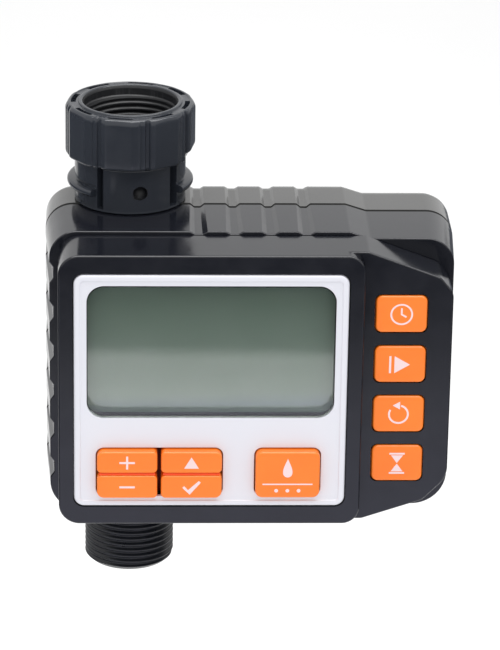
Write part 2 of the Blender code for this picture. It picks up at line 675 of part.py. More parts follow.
def build_outlet_fitting():
    outer = [(7.5, -84.0), (10.3, -84.0), (10.3, -109.6), (14.0, -109.6), (14.0, -112.0), (13.2, -112.2),
             (13.2, -119.0), (THREAD_ROOT, -119.6)]
    outer += thread_profile(THREAD_CREST, THREAD_ROOT, -120.6, 11)
    outer += [(THREAD_ROOT, OUTLET_END + 0.6), (THREAD_ROOT - 0.4, OUTLET_END), (OUTLET_BORE, OUTLET_END),
              (OUTLET_BORE, -112.0), (7.5, -110.0)]
    keep(turned("outlet_fitting", outer, 32), "outlet_fitting", "fitting_black")


def build_water_inserts():
    keep(turned("inlet_washer", ring_profile(7.7, 11.8, -10.6, -8.4), 24), "inlet_washer", "seal_black")
    basket = turned("inlet_filter", [
        (0.0, -26.0), (0.0, -25.1), (6.4, -25.1), (6.4, -7.4), (11.4, -7.4), (11.4, -8.1), (7.2, -8.1),
        (7.2, -26.0)], 24)
    for step in range(3):
        window = block(f"filter_window_{step}", (-1.6, -9, -23.5), (1.6, 9, -11.5), math.radians(60 * step))
        cut(basket, window)
    keep(basket, "inlet_filter", "frame_black")
    for name, side in (("upper_valve_seat", 1), ("lower_valve_seat", -1)):
        reach = [(6.3, 12.7), (10.3, 12.7), (10.3, 6.6), (8.2, 6.7), (6.3, 8.2)]
        seat = turned(name, [(radius, BALL_Z + side * rise) for radius, rise in reach], 24)
        keep(seat, name, "seat_white")
    washer = turned("outlet_washer", ring_profile(10.7, 13.9, -109.3, -108.3), 28)
    keep(washer, "outlet_washer", "seal_black")
    seal = turned("stem_seal", ring_profile(3.1, 4.8, 14.1, 15.7), 20, "X", (0, 0, BALL_Z))
    keep(seal, "stem_seal", "seal_black")
    keep(turned("seal_retainer", [
        (3.1, 16.0), (4.8, 16.0), (4.8, 17.3), (6.2, 17.3), (6.2, 18.2), (3.1, 18.2)], 24, "X",
        (0, 0, BALL_Z)), "seal_retainer", "gear_white")


def build_ball():
    bm = bmesh.new()
    bmesh.ops.create_uvsphere(bm, u_segments=24, v_segments=12, radius=BALL_RADIUS * MM)
    bm.transform(Matrix.Translation((0, 0, BALL_Z * MM)) @ Matrix.Rotation(math.pi / 2, 4, "Y"))
    ball = mesh_object("valve_ball", bm)
    cut(ball, cylinder("ball_bore", BALL_BORE, -12, 12, "Y", (0, BALL_Z), 24))
    cut(ball, block("ball_slot", (7.4, -3.0, BALL_Z - 1.3), (12, 3.0, BALL_Z + 1.3)))
    keep(ball, "valve_ball", "ball_chrome", (0, 0, BALL_Z))
    stem = cylinder("valve_stem", 2.8, 10.2, 26.4, "X", (0, BALL_Z), 20)
    fuse(stem, block("stem_tang", (7.8, -2.6, BALL_Z - 1.0), (11.0, 2.6, BALL_Z + 1.0)))
    keep(stem, "valve_stem", "steel", (0, 0, BALL_Z))


# ---------------------------------------------------------------- gear train
def involute(angle):
    return math.tan(angle) - angle


def gear_outline(teeth, module, addendum, dedendum, centre, phase):
    """Outline in the YZ plane, with a tooth centred on the phase angle."""
    pitch = module * teeth / 2
    base = pitch * math.cos(PRESSURE_ANGLE)
    root = pitch - dedendum
    tip = pitch + addendum
    half = math.pi / (2 * teeth) * (1 - BACKLASH) + involute(PRESSURE_ANGLE)
    flank = []
    for step in range(3):
        radius = max(base, root) + (tip - max(base, root)) * step / 2
        flank.append((radius, half - involute(math.acos(min(1.0, base / radius)))))
    if root < base:
        flank.insert(0, (root, flank[0][1]))
    points = []
    for tooth in range(teeth):
        middle = phase + 2 * math.pi * tooth / teeth
        side = [(radius, middle - spread) for radius, spread in flank]
        side += [(radius, middle + spread) for radius, spread in reversed(flank)]
        points += [(centre[0] + r * math.cos(a), centre[1] + r * math.sin(a)) for r, a in side]
    return points


def gear_body(name, teeth, module, addendum, dedendum, centre, phase, near, far):
    outline = gear_outline(teeth, module, addendum, dedendum, centre, phase)
    return loft(name, [[(x, y, z) for y, z in outline] for x in (near, far)])


def line_angle(start, end):
    return math.atan2(end[1] - start[1], end[0] - start[0])


def build_gears():
    axis = (0.0, BALL_Z)
    to_idler = line_angle(axis, IDLER_AT)
    to_motor = line_angle(IDLER_AT, MOTOR_AT)
    gap_turn = math.pi / PINION_TEETH
    output = gear_body("output_gear", OUTPUT_TEETH, OUTPUT_MODULE, 0.5, 0.95, axis, to_idler, 19.2, 22.7)
    cut(output, cylinder("output_bore", 3.1, 18, 24, "X", axis, 20))
    for step in range(4):
        angle = math.radians(45 + 90 * step)
        hole = (7.2 * math.cos(angle), BALL_Z + 7.2 * math.sin(angle))
        cut(output, cylinder(f"output_web_{step}", 2.2, 18, 24, "X", hole, 16))
    keep(output, "output_gear", "gear_white", (0, *axis))
    idler = gear_body("idler_gear", PINION_TEETH, OUTPUT_MODULE, 0.75, 1.0, IDLER_AT,
                      to_idler + math.pi + gap_turn, 19.2, 23.6)
    wheel = gear_body("idler_wheel", OUTPUT_TEETH, IDLER_MODULE, 0.4, 0.8, IDLER_AT, to_motor, 23.2, 25.7)
    fuse(idler, wheel)
    cut(idler, cylinder("idler_bore", 1.45, 18, 27, "X", IDLER_AT, 16))
    keep(idler, "idler_gear", "gear_white", (0, *IDLER_AT))
    pinion = gear_body("motor_pinion", PINION_TEETH, IDLER_MODULE, 0.6, 0.85, MOTOR_AT,
                       to_motor + math.pi + gap_turn, 23.2, 26.2)
    cut(pinion, cylinder("pinion_bore", 1.2, 22, 27, "X", MOTOR_AT, 16))
    keep(pinion, "motor_pinion", "gear_white", (0, *MOTOR_AT))
    keep(cylinder("idler_pin", 1.15, 18.4, 28.3, "X", IDLER_AT, 16), "idler_pin", "steel")


def build_drive():
    outline = rounded([(-21.5, -54.0, 3.0), (-21.5, -104.5, 3.0), (2.0, -104.5, 3.0), (12.3, -88.0, 3.0),
                       (12.3, -54.0, 3.0)])
    bracket = plate("gear_bracket", [outline], 27.0, 28.6, "X")
    for index, at in enumerate(((0.0, -55.8), (9.8, -84.2), (-13.2, -62.2))):
        fuse(bracket, cylinder(f"post_{index}", 1.8, 15.5, 27.5, "X", at, 12))
    cut(bracket, cylinder("pin_hole", 1.45, 26, 30, "X", IDLER_AT, 16))
    cut(bracket, cylinder("shaft_hole", 3.3, 26, 30, "X", MOTOR_AT, 20))
    cut(bracket, cylinder("stem_clearance", 3.4, 26, 30, "X", (0.0, BALL_Z), 20))
    keep(bracket, "gear_bracket", "gear_white")
    across = (MOTOR_AT[0] - 7.6, MOTOR_AT[0] + 7.6, MOTOR_AT[1] - 9.8, MOTOR_AT[1] + 9.8)
    motor = plate("motor", [rectangle(across, 6.0, 4)], 28.9, 53.0, "X")
    fuse(motor, cylinder("motor_nose", 3.0, 27.2, 29.5, "X", MOTOR_AT, 20))
    fuse(motor, cylinder("motor_shaft", 0.9, 23.4, 28.0, "X", MOTOR_AT, 12))
    keep(motor, "motor", "steel")


# ---------------------------------------------------------------- power
def spring_path(at_x):
    """Points of a conical spring standing on the battery box floor."""
    low = BOX[2] + 1.5 + 0.6
    points = []
    for step in range(31):
        turn = step / 30
        angle = 2 * math.pi * 3.0 * turn
        radius = 4.4 - 1.8 * turn
        points.append((at_x + radius * math.cos(angle), BATTERY_Y + radius * math.sin(angle),
                       low + 3.2 * turn))
    return points


def build_spring(name, at_x):
    curve = bpy.data.curves.new(name, "CURVE")
    curve.dimensions = "3D"
    curve.bevel_depth = 0.3 * MM
    curve.bevel_resolution = 2
    curve.use_fill_caps = True
    path = spring_path(at_x)
    spline = curve.splines.new("POLY")
    spline.points.add(len(path) - 1)
    for point, place in zip(spline.points, path):
        point.co = (*(Vector(place) * MM), 1.0)
    drawn = bpy.data.objects.new(name, curve)
    bpy.context.scene.collection.objects.link(drawn)
    bpy.context.view_layer.update()
    mesh = bpy.data.meshes.new_from_object(drawn.evaluated_get(bpy.context.evaluated_depsgraph_get()))
    bpy.data.objects.remove(drawn, do_unlink=True)
    bm = bmesh.new()
    bm.from_mesh(mesh)
    bmesh.ops.remove_doubles(bm, verts=bm.verts, dist=0.000001)
    keep(mesh_object(name, bm), name, "steel")


def build_battery(name, at_x):
    top = BATTERY_TOP
    profile = [(0.0, top), (2.6, top), (2.6, top - 1.2), (BATTERY_RADIUS - 0.4, top - 1.2),
               (BATTERY_RADIUS, top - 1.6), (BATTERY_RADIUS, top - BATTERY_LENGTH + 0.4),
               (BATTERY_RADIUS - 0.4, top - BATTERY_LENGTH), (0.0, top - BATTERY_LENGTH)]
    keep(turned(name, profile, 20, "Z", (at_x, BATTERY_Y, 0)), name, "battery_wrap")


def build_power():
    left, right, low, high = BOX
    tray = plate("battery_box", [rectangle(BOX, 2.0)], -4.1, 12.1)
    cut(tray, plate("battery_room", [rectangle(grown(BOX, -1.5), 1.0)], -2.9, 14.0))
    keep(tray, "battery_box", "frame_black")
    for side, at_x in zip("ab", BATTERY_X):
        build_battery(f"battery_{side}", at_x)
        build_spring(f"contact_spring_{side}", at_x)
        tab = (at_x - 4.5, at_x + 4.5, high - 1.5 - 0.75, high - 1.5 - 0.3)
        keep(plate("contact_plate_" + side, [rectangle(tab)], -1.0, 9.5), "contact_plate_" + side, "steel")
    outline = rectangle((43.6, 84.0, -106.4, -37.8), 4.0, 4)
    cover = plate("battery_cover", [outline], BACK + 0.9, BACK + 2.9, edge=0.6)
    plug = plate("cover_plug", [rectangle(grown(BOX, 0.4), 2.7)], 12.6, BACK + 1.4)
    fuse(cover, plug)
    cut(cover, plate("plug_core", [rectangle(grown(BOX, -1.2), 1.5)], 11.5, BACK + 1.0))
    for index in range(5):
        rib = -44.0 - 2.2 * index
        groove = block(f"grip_groove_{index}", (56.0, BACK + 2.4, rib - 0.5), (72.0, BACK + 4, rib + 0.5))
        cut(cover, groove)
    cut(cover, cylinder("cover_hole", 1.8, BACK - 1, BACK + 4, "Y", COVER_SCREW_AT, 16))
    keep(cover, "battery_cover", "casing_black", (COVER_SCREW_AT[0], BACK, COVER_SCREW_AT[1]))
    ring = plate("battery_gasket", [
        rectangle((44.4, 83.2, -100.9, -38.6), 3.0),
        rectangle(grown(BOX, 0.72), 2.7)], BACK + 0.2, BACK + 0.7)
    keep(ring, "battery_gasket", "seal_black")
    build_screw("cover_screw", COVER_SCREW_AT, BACK + 3.1, 1.5, 2.9, 1.3, 11.0)


def build_screw(name, at, head_base, shank, head, head_height, length):
    """A cross-recessed pan-head screw along Y, its head towards the back."""
    head_top = head_base + head_height
    tip = head_base - length
    profile = [(0.0, tip), (0.0, head_top), (head * 0.7, head_top), (head, head_base + head_height * 0.5),
               (head, head_base), (shank, head_base), (shank, tip + 1.0), (shank * 0.4, tip)]
    screw = turned(name, profile, 12, "Y", (at[0], 0, at[1]))
    reach = head * 0.6
    bar = block(name + "_bar", (at[0] - reach, head_top - 0.8, at[1] - 0.35),
                (at[0] + reach, head_top + 3, at[1] + 0.35))
    post = block(name + "_post", (at[0] - 0.35, head_top - 0.8, at[1] - reach),
                 (at[0] + 0.35, head_top + 3, at[1] + reach))
    keep(cut(screw, bar, post), name, "steel", (at[0], 0, at[1]))


def build_casing_screws():
    for index, at in enumerate(SCREW_POINTS):
        build_screw(f"casing_screw_{index + 1}", at, 2.3, 1.3, 2.4, 1.6, 16.0)


build_front_casing()
build_rear_casing()
build_casing_gaskets()
build_bezel()
build_display()
build_board()
build_keys()
build_mats()
build_nut()
build_collar()
build_valve_body()
build_outlet_fitting()
build_water_inserts()
build_ball()
build_gears()
build_drive()
build_power()
build_casing_screws()
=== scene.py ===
"""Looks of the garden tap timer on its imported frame. The object is in millimetres, the studio in metres."""
import json
import math

import bmesh
import bpy
from mathutils import Matrix, Vector


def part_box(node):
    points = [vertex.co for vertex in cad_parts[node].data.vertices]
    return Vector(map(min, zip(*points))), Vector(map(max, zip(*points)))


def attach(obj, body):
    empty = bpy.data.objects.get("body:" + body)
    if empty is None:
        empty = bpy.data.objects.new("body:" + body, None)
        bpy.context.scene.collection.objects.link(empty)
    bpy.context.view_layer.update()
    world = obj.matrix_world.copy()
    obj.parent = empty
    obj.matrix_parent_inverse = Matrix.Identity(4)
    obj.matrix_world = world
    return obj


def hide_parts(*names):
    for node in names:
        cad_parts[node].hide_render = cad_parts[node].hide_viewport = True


MM = 0.001

# ---------------------------------------------------------------- camera
CAMERA_AT = Vector((-4.03, -980.26, 329.17)) * MM
PITCH = math.radians(22.08)
YAW = math.radians(2.3)
ROLL = math.radians(0.94)


def make_camera():
    camera = bpy.data.objects.new("camera", bpy.data.cameras.new("camera"))
    camera.data.lens = 199.4
    camera.data.sensor_width = 36.0
    camera.data.clip_start = 0.05
    camera.data.clip_end = 60.0
    bpy.context.scene.collection.objects.link(camera)
    forward = Vector((math.sin(YAW) * math.cos(PITCH), math.cos(YAW) * math.cos(PITCH), -math.sin(PITCH)))
    level = Vector((math.cos(YAW), -math.sin(YAW), 0.0))
    rise = level.cross(forward)
    right = level * math.cos(ROLL) + rise * math.sin(ROLL)
    up = rise * math.cos(ROLL) - level * math.sin(ROLL)
    turn = Matrix((right, up, -forward)).transposed().to_4x4()
    camera.matrix_world = Matrix.Translation(CAMERA_AT) @ turn
    bpy.context.scene.camera = camera


make_camera()
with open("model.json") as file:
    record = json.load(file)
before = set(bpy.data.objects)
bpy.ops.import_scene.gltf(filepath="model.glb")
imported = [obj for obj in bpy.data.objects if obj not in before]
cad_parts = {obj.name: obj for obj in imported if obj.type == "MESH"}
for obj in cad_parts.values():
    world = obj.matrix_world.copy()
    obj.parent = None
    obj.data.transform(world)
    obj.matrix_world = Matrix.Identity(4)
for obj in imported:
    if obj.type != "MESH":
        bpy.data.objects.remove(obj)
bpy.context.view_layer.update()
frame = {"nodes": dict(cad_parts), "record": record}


# ---------------------------------------------------------------- materials
# Most of a noise texture's values lie between these two
NOISE_LOW, NOISE_HIGH = 0.3, 0.7
# Scales of the patches in a plastic's colour and in its gloss
CLOUD_SCALE, SMEAR_SCALE = 45.0, 160.0


def set_input(shader, name, value):
    shader.inputs[name].default_value = value


def graph(name):
    """A new material, its node tree and its Principled shader."""
    material = bpy.data.materials.new(name)
    material.use_nodes = True
    tree = material.node_tree
    return material, tree, tree.nodes["Principled BSDF"]


def noise(tree, scale, detail):
    coordinates = tree.nodes.new("ShaderNodeTexCoord")
    texture = tree.nodes.new("ShaderNodeTexNoise")
    texture.inputs["Scale"].default_value = scale
    texture.inputs["Detail"].default_value = detail
    texture.inputs["Roughness"].default_value = 0.55
    tree.links.new(coordinates.outputs["Object"], texture.inputs["Vector"])
    return texture


def ramp(tree, source, stops):
    node = tree.nodes.new("ShaderNodeValToRGB")
    node.color_ramp.elements[0].position = stops[0][0]
    node.color_ramp.elements[0].color = (*stops[0][1], 1.0)
    node.color_ramp.elements[1].position = stops[-1][0]
    node.color_ramp.elements[1].color = (*stops[-1][1], 1.0)
    for position, colour in stops[1:-1]:
        node.color_ramp.elements.new(position).color = (*colour, 1.0)
    tree.links.new(source, node.inputs["Fac"])
    return node.outputs["Color"]


def cloudy(tree, texture, dark, light):
    """The colour that runs from dark to light over the busy part of a noise texture."""
    return ramp(tree, texture.outputs["Fac"], ((NOISE_LOW, dark), (NOISE_HIGH, light)))


def spread(tree, texture, low, high):
    """Maps the busy part of a noise texture onto a range."""
    node = tree.nodes.new("ShaderNodeMapRange")
    node.inputs["From Min"].default_value = NOISE_LOW
    node.inputs["From Max"].default_value = NOISE_HIGH
    node.inputs["To Min"].default_value = low
    node.inputs["To Max"].default_value = high
    tree.links.new(texture.outputs["Fac"], node.inputs["Value"])
    return node.outputs["Result"]


def bump(tree, shader, source, depth):
    node = tree.nodes.new("ShaderNodeBump")
    node.inputs["Distance"].default_value = depth
    tree.links.new(source, node.inputs["Height"])
    tree.links.new(node.outputs["Normal"], shader.inputs["Normal"])


def moulded(name, dark, light, roughness, grain=2600.0, depth=0.000012, uneven=0.035, ior=1.5):
    """Moulded plastic: cloudy colour, uneven gloss and a fine eroded grain."""
    material, tree, shader = graph(name)
    cloud = noise(tree, CLOUD_SCALE, 4.0)
    tree.links.new(cloudy(tree, cloud, dark, light), shader.inputs["Base Color"])
    smear = noise(tree, SMEAR_SCALE, 5.0)
    tree.links.new(spread(tree, smear, roughness - uneven, roughness + uneven), shader.inputs["Roughness"])
    fine = noise(tree, grain, 2.0)
    bump(tree, shader, fine.outputs["Fac"], depth)
    set_input(shader, "IOR", ior)
    return material


def metal(name, dark, light, roughness, stretch):
    """Bright metal with drawn or turned marks along one axis."""
    material, tree, shader = graph(name)
    coordinates = tree.nodes.new("ShaderNodeTexCoord")
    mapping = tree.nodes.new("ShaderNodeMapping")
    mapping.inputs["Scale"].default_value = stretch
    texture = tree.nodes.new("ShaderNodeTexNoise")
    texture.inputs["Scale"].default_value = 900.0
    tree.links.new(coordinates.outputs["Object"], mapping.inputs["Vector"])
    tree.links.new(mapping.outputs["Vector"], texture.inputs["Vector"])
    tree.links.new(cloudy(tree, texture, dark, light), shader.inputs["Base Color"])
    tree.links.new(spread(tree, texture, roughness - 0.05, roughness + 0.08), shader.inputs["Roughness"])
    bump(tree, shader, texture.outputs["Fac"], 0.000008)
    set_input(shader, "Metallic", 1.0)
    return material


def board_material():
    """Solder mask with paler copper tracks showing through it."""
    material, tree, shader = graph("solder_mask")
    coordinates = tree.nodes.new("ShaderNodeTexCoord")
    brick = tree.nodes.new("ShaderNodeTexBrick")
    brick.inputs["Scale"].default_value = 260.0
    brick.inputs["Color1"].default_value = (0.02, 0.13, 0.06, 1)
    brick.inputs["Color2"].default_value = (0.03, 0.18, 0.08, 1)
    brick.inputs["Mortar"].default_value = (0.10, 0.34, 0.14, 1)
    brick.inputs["Mortar Size"].default_value = 0.06
    swing = tree.nodes.new("ShaderNodeMapping")
    swing.inputs["Rotation"].default_value = (math.pi / 2, 0, 0)
    tree.links.new(coordinates.outputs["Object"], swing.inputs["Vector"])
    tree.links.new(swing.outputs["Vector"], brick.inputs["Vector"])
    tree.links.new(brick.outputs["Color"], shader.inputs["Base Color"])
    bump(tree, shader, brick.outputs["Fac"], 0.00003)
    set_input(shader, "Roughness", 0.35)
    return material


def lens_material():
    """A clear moulded window, faintly green."""
    material, tree, shader = graph("clear_window")
    haze = noise(tree, 60.0, 3.0)
    tint = cloudy(tree, haze, (0.93, 0.96, 0.94), (0.95, 0.97, 0.96))
    tree.links.new(tint, shader.inputs["Base Color"])
    tree.links.new(spread(tree, haze, 0.004, 0.010), shader.inputs["Roughness"])
    set_input(shader, "Transmission Weight", 1.0)
    set_input(shader, "IOR", 1.49)
    return material


def display_material():
    """A blank liquid crystal panel: grey green and mirror-like, with a faint grain."""
    material, tree, shader = graph("blank_display")
    cloud = noise(tree, 30.0, 2.0)
    tint = cloudy(tree, cloud, (0.250, 0.325, 0.262), (0.272, 0.350, 0.284))
    tree.links.new(tint, shader.inputs["Base Color"])
    tree.links.new(spread(tree, cloud, 0.012, 0.022), shader.inputs["Roughness"])
    grain = noise(tree, 3200.0, 1.0)
    bump(tree, shader, grain.outputs["Fac"], 0.0000002)
    set_input(shader, "IOR", 2.35)
    return material


M = {
    "casing": moulded("casing_plastic", (0.0078, 0.0086, 0.0125), (0.0096, 0.0106, 0.0150),
                      0.16, 2600.0, 0.000004, ior=1.485),
    "rear": moulded("rear_plastic", (0.060, 0.060, 0.059), (0.068, 0.068, 0.067), 0.17, 2600.0, 0.000004),
    "fitting": moulded("fitting_plastic", (0.0205, 0.0240, 0.0320), (0.0240, 0.0280, 0.0365),
                       0.20, 1800.0, 0.000006),
    "outlet": moulded("outlet_plastic", (0.0046, 0.0056, 0.0092), (0.0058, 0.0070, 0.0110),
                      0.30, 1800.0, 0.000006),
    # Painted shade: a darker, rougher colour for the hollows of the nut's bore and the collar's dimple
    "bore": moulded("bore_plastic", (0.0026, 0.0032, 0.0050), (0.0034, 0.0042, 0.0064),
                    0.50, 1800.0, 0.000006),
    "bezel": moulded("bezel_plastic", (0.722, 0.727, 0.785), (0.728, 0.733, 0.791),
                     0.28, 3000.0, 0.0000015, uneven=0.004),
    "orange": moulded("button_plastic", (0.93, 0.19, 0.012), (0.98, 0.22, 0.016), 0.36, 3000.0, 0.000008),
    "mark": moulded("mark_paint", (0.84, 0.64, 0.65), (0.87, 0.67, 0.68), 0.45, 5000.0, 0.000004),
    # Deep red of the strip between the key rows: painted shade of the orange keys in the gap
    "shaded_rib": moulded("rib_painted_shade", (0.95, 0.07, 0.004), (0.98, 0.08, 0.006), 0.5, 3000.0),
    "lens": lens_material(),
    "display": display_material(),
    "frame": moulded("frame_plastic", (0.008, 0.008, 0.009), (0.012, 0.012, 0.013), 0.5),
    "board": board_material(),
    "mat": moulded("keypad_silicone", (0.20, 0.012, 0.006), (0.26, 0.018, 0.008), 0.6, 1500.0),
    "seal": moulded("seal_rubber", (0.008, 0.008, 0.008), (0.014, 0.014, 0.014), 0.6, 1500.0),
    "seat": moulded("seat_plastic", (0.72, 0.72, 0.69), (0.78, 0.78, 0.75), 0.45),
    "gear": moulded("gear_plastic", (0.78, 0.76, 0.70), (0.84, 0.82, 0.76), 0.4),
    "chrome": metal("ball_plating", (0.68, 0.68, 0.70), (0.75, 0.75, 0.77), 0.12, (1, 1, 6)),
    "steel": metal("bright_steel", (0.48, 0.48, 0.50), (0.60, 0.60, 0.62), 0.28, (6, 1, 1)),
    "sleeve": moulded("battery_sleeve", (0.03, 0.07, 0.22), (0.04, 0.10, 0.28), 0.3),
}
# The look of each slot of the CAD pieces that stay as they are
SLOT_LOOK = {
    "fitting_black": "fitting", "frame_black": "frame", "board_green": "board", "rubber_grey": "mat",
    "seal_black": "seal", "seat_white": "seat", "gear_white": "gear", "ball_chrome": "chrome",
    "steel": "steel", "battery_wrap": "sleeve",
}
SLOT_OF = {row["node"]: row["material_slot"] for row in frame["record"]["subparts"]}


# ---------------------------------------------------------------- shape helpers
def link(name, bm):
    """A body from a closed mesh, its faces turned outward."""
    if bm.calc_volume(signed=True) < 0:
        bmesh.ops.reverse_faces(bm, faces=bm.faces)
    mesh = bpy.data.meshes.new(name)
    bm.to_mesh(mesh)
    bm.free()
    piece = bpy.data.objects.new(name, mesh)
    bpy.context.scene.collection.objects.link(piece)
    return piece


def loft(name, rings):
    """A closed body through rings of equal point counts, capped at both ends."""
    bm = bmesh.new()
    rows = [[bm.verts.new(Vector(point) * MM) for point in ring] for ring in rings]
    count = len(rows[0])
    for near, far in zip(rows, rows[1:]):
        for index in range(count):
            after = (index + 1) % count
            bm.faces.new((near[index], near[after], far[after], far[index]))
    bm.faces.new(rows[0])
    bm.faces.new(list(reversed(rows[-1])))
    bmesh.ops.recalc_face_normals(bm, faces=bm.faces)
    return link(name, bm)


def round_field(name, profile, columns):
    """A ring-shaped body: profile(angle) is its closed (radius, level) section at an angle in degrees."""
    bm = bmesh.new()
    grid = []
    for angle in columns:
        turn = math.radians(angle)
        grid.append([bm.verts.new(Vector((r * math.sin(turn), -r * math.cos(turn), z)) * MM)
                     for r, z in profile(angle)])
    for near, far in zip(grid, grid[1:] + grid[:1]):
        for index in range(len(near)):
            after = (index + 1) % len(near)
            bm.faces.new((near[index], near[after], far[after], far[index]))
    return link(name, bm)


LARGE_RADIUS = 4.0


def rounded(corners, steps=6):
    """Outline points of a polygon whose corners (a, b, radius) are rounded by arcs, finer on large ones."""
    points = []
    count = len(corners)
    for index, (a, b, radius) in enumerate(corners):
        here = Vector((a, b))
        if radius <= 0:
            points.append((a, b))
            continue
        before = (Vector(corners[index - 1][:2]) - here).normalized()
        after = (Vector(corners[(index + 1) % count][:2]) - here).normalized()
        half = before.angle(after) / 2
        middle = here + (before + after).normalized() * (radius / math.sin(half))
        start = here + before * (radius / math.tan(half)) - middle
        end = here + after * (radius / math.tan(half)) - middle
        sweep = start.angle_signed(end)
        arc_steps = steps * 4 if radius > LARGE_RADIUS else steps
        for step in range(arc_steps + 1):
            arm = start.copy()
            arm.rotate(Matrix.Rotation(-sweep * step / arc_steps, 2))
            points.append(tuple(middle + arm))
    return points


def rectangle(box, radius, steps=8):
    """Outline of a box (left, right, low, high); radius is one value or one for each corner from top left."""
    left, right, low, high = box
    radii = radius if isinstance(radius, tuple) else (radius,) * 4
    places = ((left, high), (right, high), (right, low), (left, low))
    return rounded([(*place, r) for place, r in zip(places, radii)], steps)


def grown(box, margin):
    return (box[0] - margin, box[1] + margin, box[2] - margin, box[3] + margin)


def plate(name, outlines, near, far, soft=0.0, segments=4):
    """A flat body between two Y levels, from outlines in X and Z of which the later ones are holes."""
    curve = bpy.data.curves.new(name, "CURVE")
    curve.dimensions = "2D"
    curve.fill_mode = "BOTH"
    curve.extrude = abs(far - near) / 2 * MM
    for outline in outlines:
        spline = curve.splines.new("POLY")
        spline.points.add(len(outline) - 1)
        spline.use_cyclic_u = True
        for point, (a, b) in zip(spline.points, outline):
            point.co = (a * MM, b * MM, 0.0, 1.0)
    drawn = bpy.data.objects.new(name, curve)
    bpy.context.scene.collection.objects.link(drawn)
    upright = Matrix.Rotation(math.pi / 2, 4, "X")
    drawn.matrix_world = Matrix.Translation((0, (near + far) / 2 * MM, 0)) @ upright
    bpy.context.view_layer.update()
    mesh = bpy.data.meshes.new_from_object(drawn.evaluated_get(bpy.context.evaluated_depsgraph_get()))
    mesh.transform(drawn.matrix_world)
    bm = bmesh.new()
    bm.from_mesh(mesh)
    bmesh.ops.remove_doubles(bm, verts=bm.verts, dist=0.000001)
    bmesh.ops.recalc_face_normals(bm, faces=bm.faces)
    bpy.data.objects.remove(drawn, do_unlink=True)
    piece = link(name, bm)
    if soft:
        soften(piece, soft, segments)
    return piece


def soften(piece, width, segments=3, angle=40.0):
    step = piece.modifiers.new("soften", "BEVEL")
    step.width = width * MM
    step.segments = segments
    step.limit_method = "ANGLE"
    step.angle_limit = math.radians(angle)
    step.miter_outer = "MITER_ARC"


def cylinder(name, radius, near, far, along="Z", at=(0.0, 0.0), segments=64):
    bm = bmesh.new()
    bmesh.ops.create_cone(bm, cap_ends=True, segments=segments, radius1=radius * MM,
                          radius2=radius * MM, depth=abs(far - near) * MM)
    middle = (near + far) / 2
    if along == "Z":
        place = Matrix.Translation(Vector((at[0], at[1], middle)) * MM)
    else:
        place = Matrix.Translation(Vector((at[0], middle, at[1])) * MM) @ Matrix.Rotation(math.pi / 2, 4, "X")
    bm.transform(place)
    return link(name, bm)


def block(name, low, high):
    bm = bmesh.new()
    bmesh.ops.create_cube(bm, size=1.0)
    size = [(b - a) * MM for a, b in zip(low, high)]
    centre = [(a + b) / 2 * MM for a, b in zip(low, high)]
    bm.transform(Matrix.Translation(centre) @ Matrix.Diagonal((*size, 1.0)))
    return link(name, bm)


def combine(piece, operation, *tools):
    """Joins or cuts a piece with tools at once, and removes them."""
    steps = []
    for tool in tools:
        step = piece.modifiers.new(operation, "BOOLEAN")
        step.operation = operation
        step.solver = "EXACT"
        step.object = tool
        steps.append(step)
    bpy.context.view_layer.update()
    mesh = bpy.data.meshes.new_from_object(piece.evaluated_get(bpy.context.evaluated_depsgraph_get()))
    piece.modifiers.clear()
    piece.data = mesh
    for tool in tools:
        bpy.data.objects.remove(tool, do_unlink=True)


def finish(piece, look, body, *nodes, slot=None, angle=32.0):
    """Gives a piece its material, shading and body, and hides the CAD nodes that it stands for."""
    piece.data.materials.clear()
    piece.data.materials.append(M[look])
    piece.data.shade_smooth()
    piece.data.set_sharp_from_angle(angle=math.radians(angle))
    weigh = piece.modifiers.new("weigh_normals", "WEIGHTED_NORMAL")
    weigh.keep_sharp = True
    weigh.weight = 100
    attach(piece, body)
    if nodes:
        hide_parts(*nodes)


def node_box(node):
    """A CAD node's (left, right, low, high) in X and Z, and its front and back in Y."""
    low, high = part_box(node)
    return (low.x / MM, high.x / MM, low.z / MM, high.z / MM), (low.y / MM, high.y / MM)


def edge_arc(radius, steps):
    """(depth, inset) pairs round a quarter-circle edge, from the face to the side."""
    pairs = []
    for step in range(steps + 1):
        angle = math.pi / 2 * step / steps
        pairs.append((radius * (1 - math.cos(angle)), radius * (1 - math.sin(angle))))
    return pairs


# ---------------------------------------------------------------- casings
TOP, BOTTOM, LEFT, RIGHT = -28.7, -115.3, -23.0, 92.0
SHOULDER_DROP, SHOULDER_START, SHOULDER_END, SHOULDER_BEND = 1.95, 62.0, 68.0, 2.5
BAND_FRONT, PARTING_FRONT, PARTING_REAR, FLARE = -28.7, -6.3, -5.2, 1.4
REAR_FLAT_END, REAR_FILLET, BACK, WALL = 7.6, 8.0, 15.6, 2.2
BAND_EDGE, NOSE_EDGE, FACE_EDGE, CORNER = 0.4, 0.5, 0.6, 8.0
FACE, PANEL_FACE, FACE_LEFT, FACE_RIGHT = -45.5, -42.0, -20.3, 65.7
FACE_TOP, FACE_BOTTOM, PANEL_RIGHT = -29.7, -111.9, 90.9

# Half widths of a groove's floor and mouth, and its depth; the change is what the band's front adds
GROOVE_DEPTH = 1.1
TOP_GROOVE = (0.9, 2.0, GROOVE_DEPTH - 0.15)
TOP_GROOVE_CHANGE = (0.2, 0.55, -0.2)
SIDE_GROOVE = (1.6, 3.2, GROOVE_DEPTH)
MOUTH_BEND, FLOOR_BEND = 0.6, 0.5
TOP_GROOVES = (19.3, 29.5, 39.7, 49.9)
SIDE_GROOVES = tuple(-41.3 - 12.03 * step for step in range(6))
# Share of the grooves' depth that is gone where the fillet meets the back
GROOVE_RUN_OUT = 0.8

# (depth, inset) of the nose's foot, from the front of the band inward
NOSE_FOOT = ((-0.62, 0.0), (-0.46, 0.05), (-0.36, 0.16), (-0.32, 0.3), (1.0, 0.3))
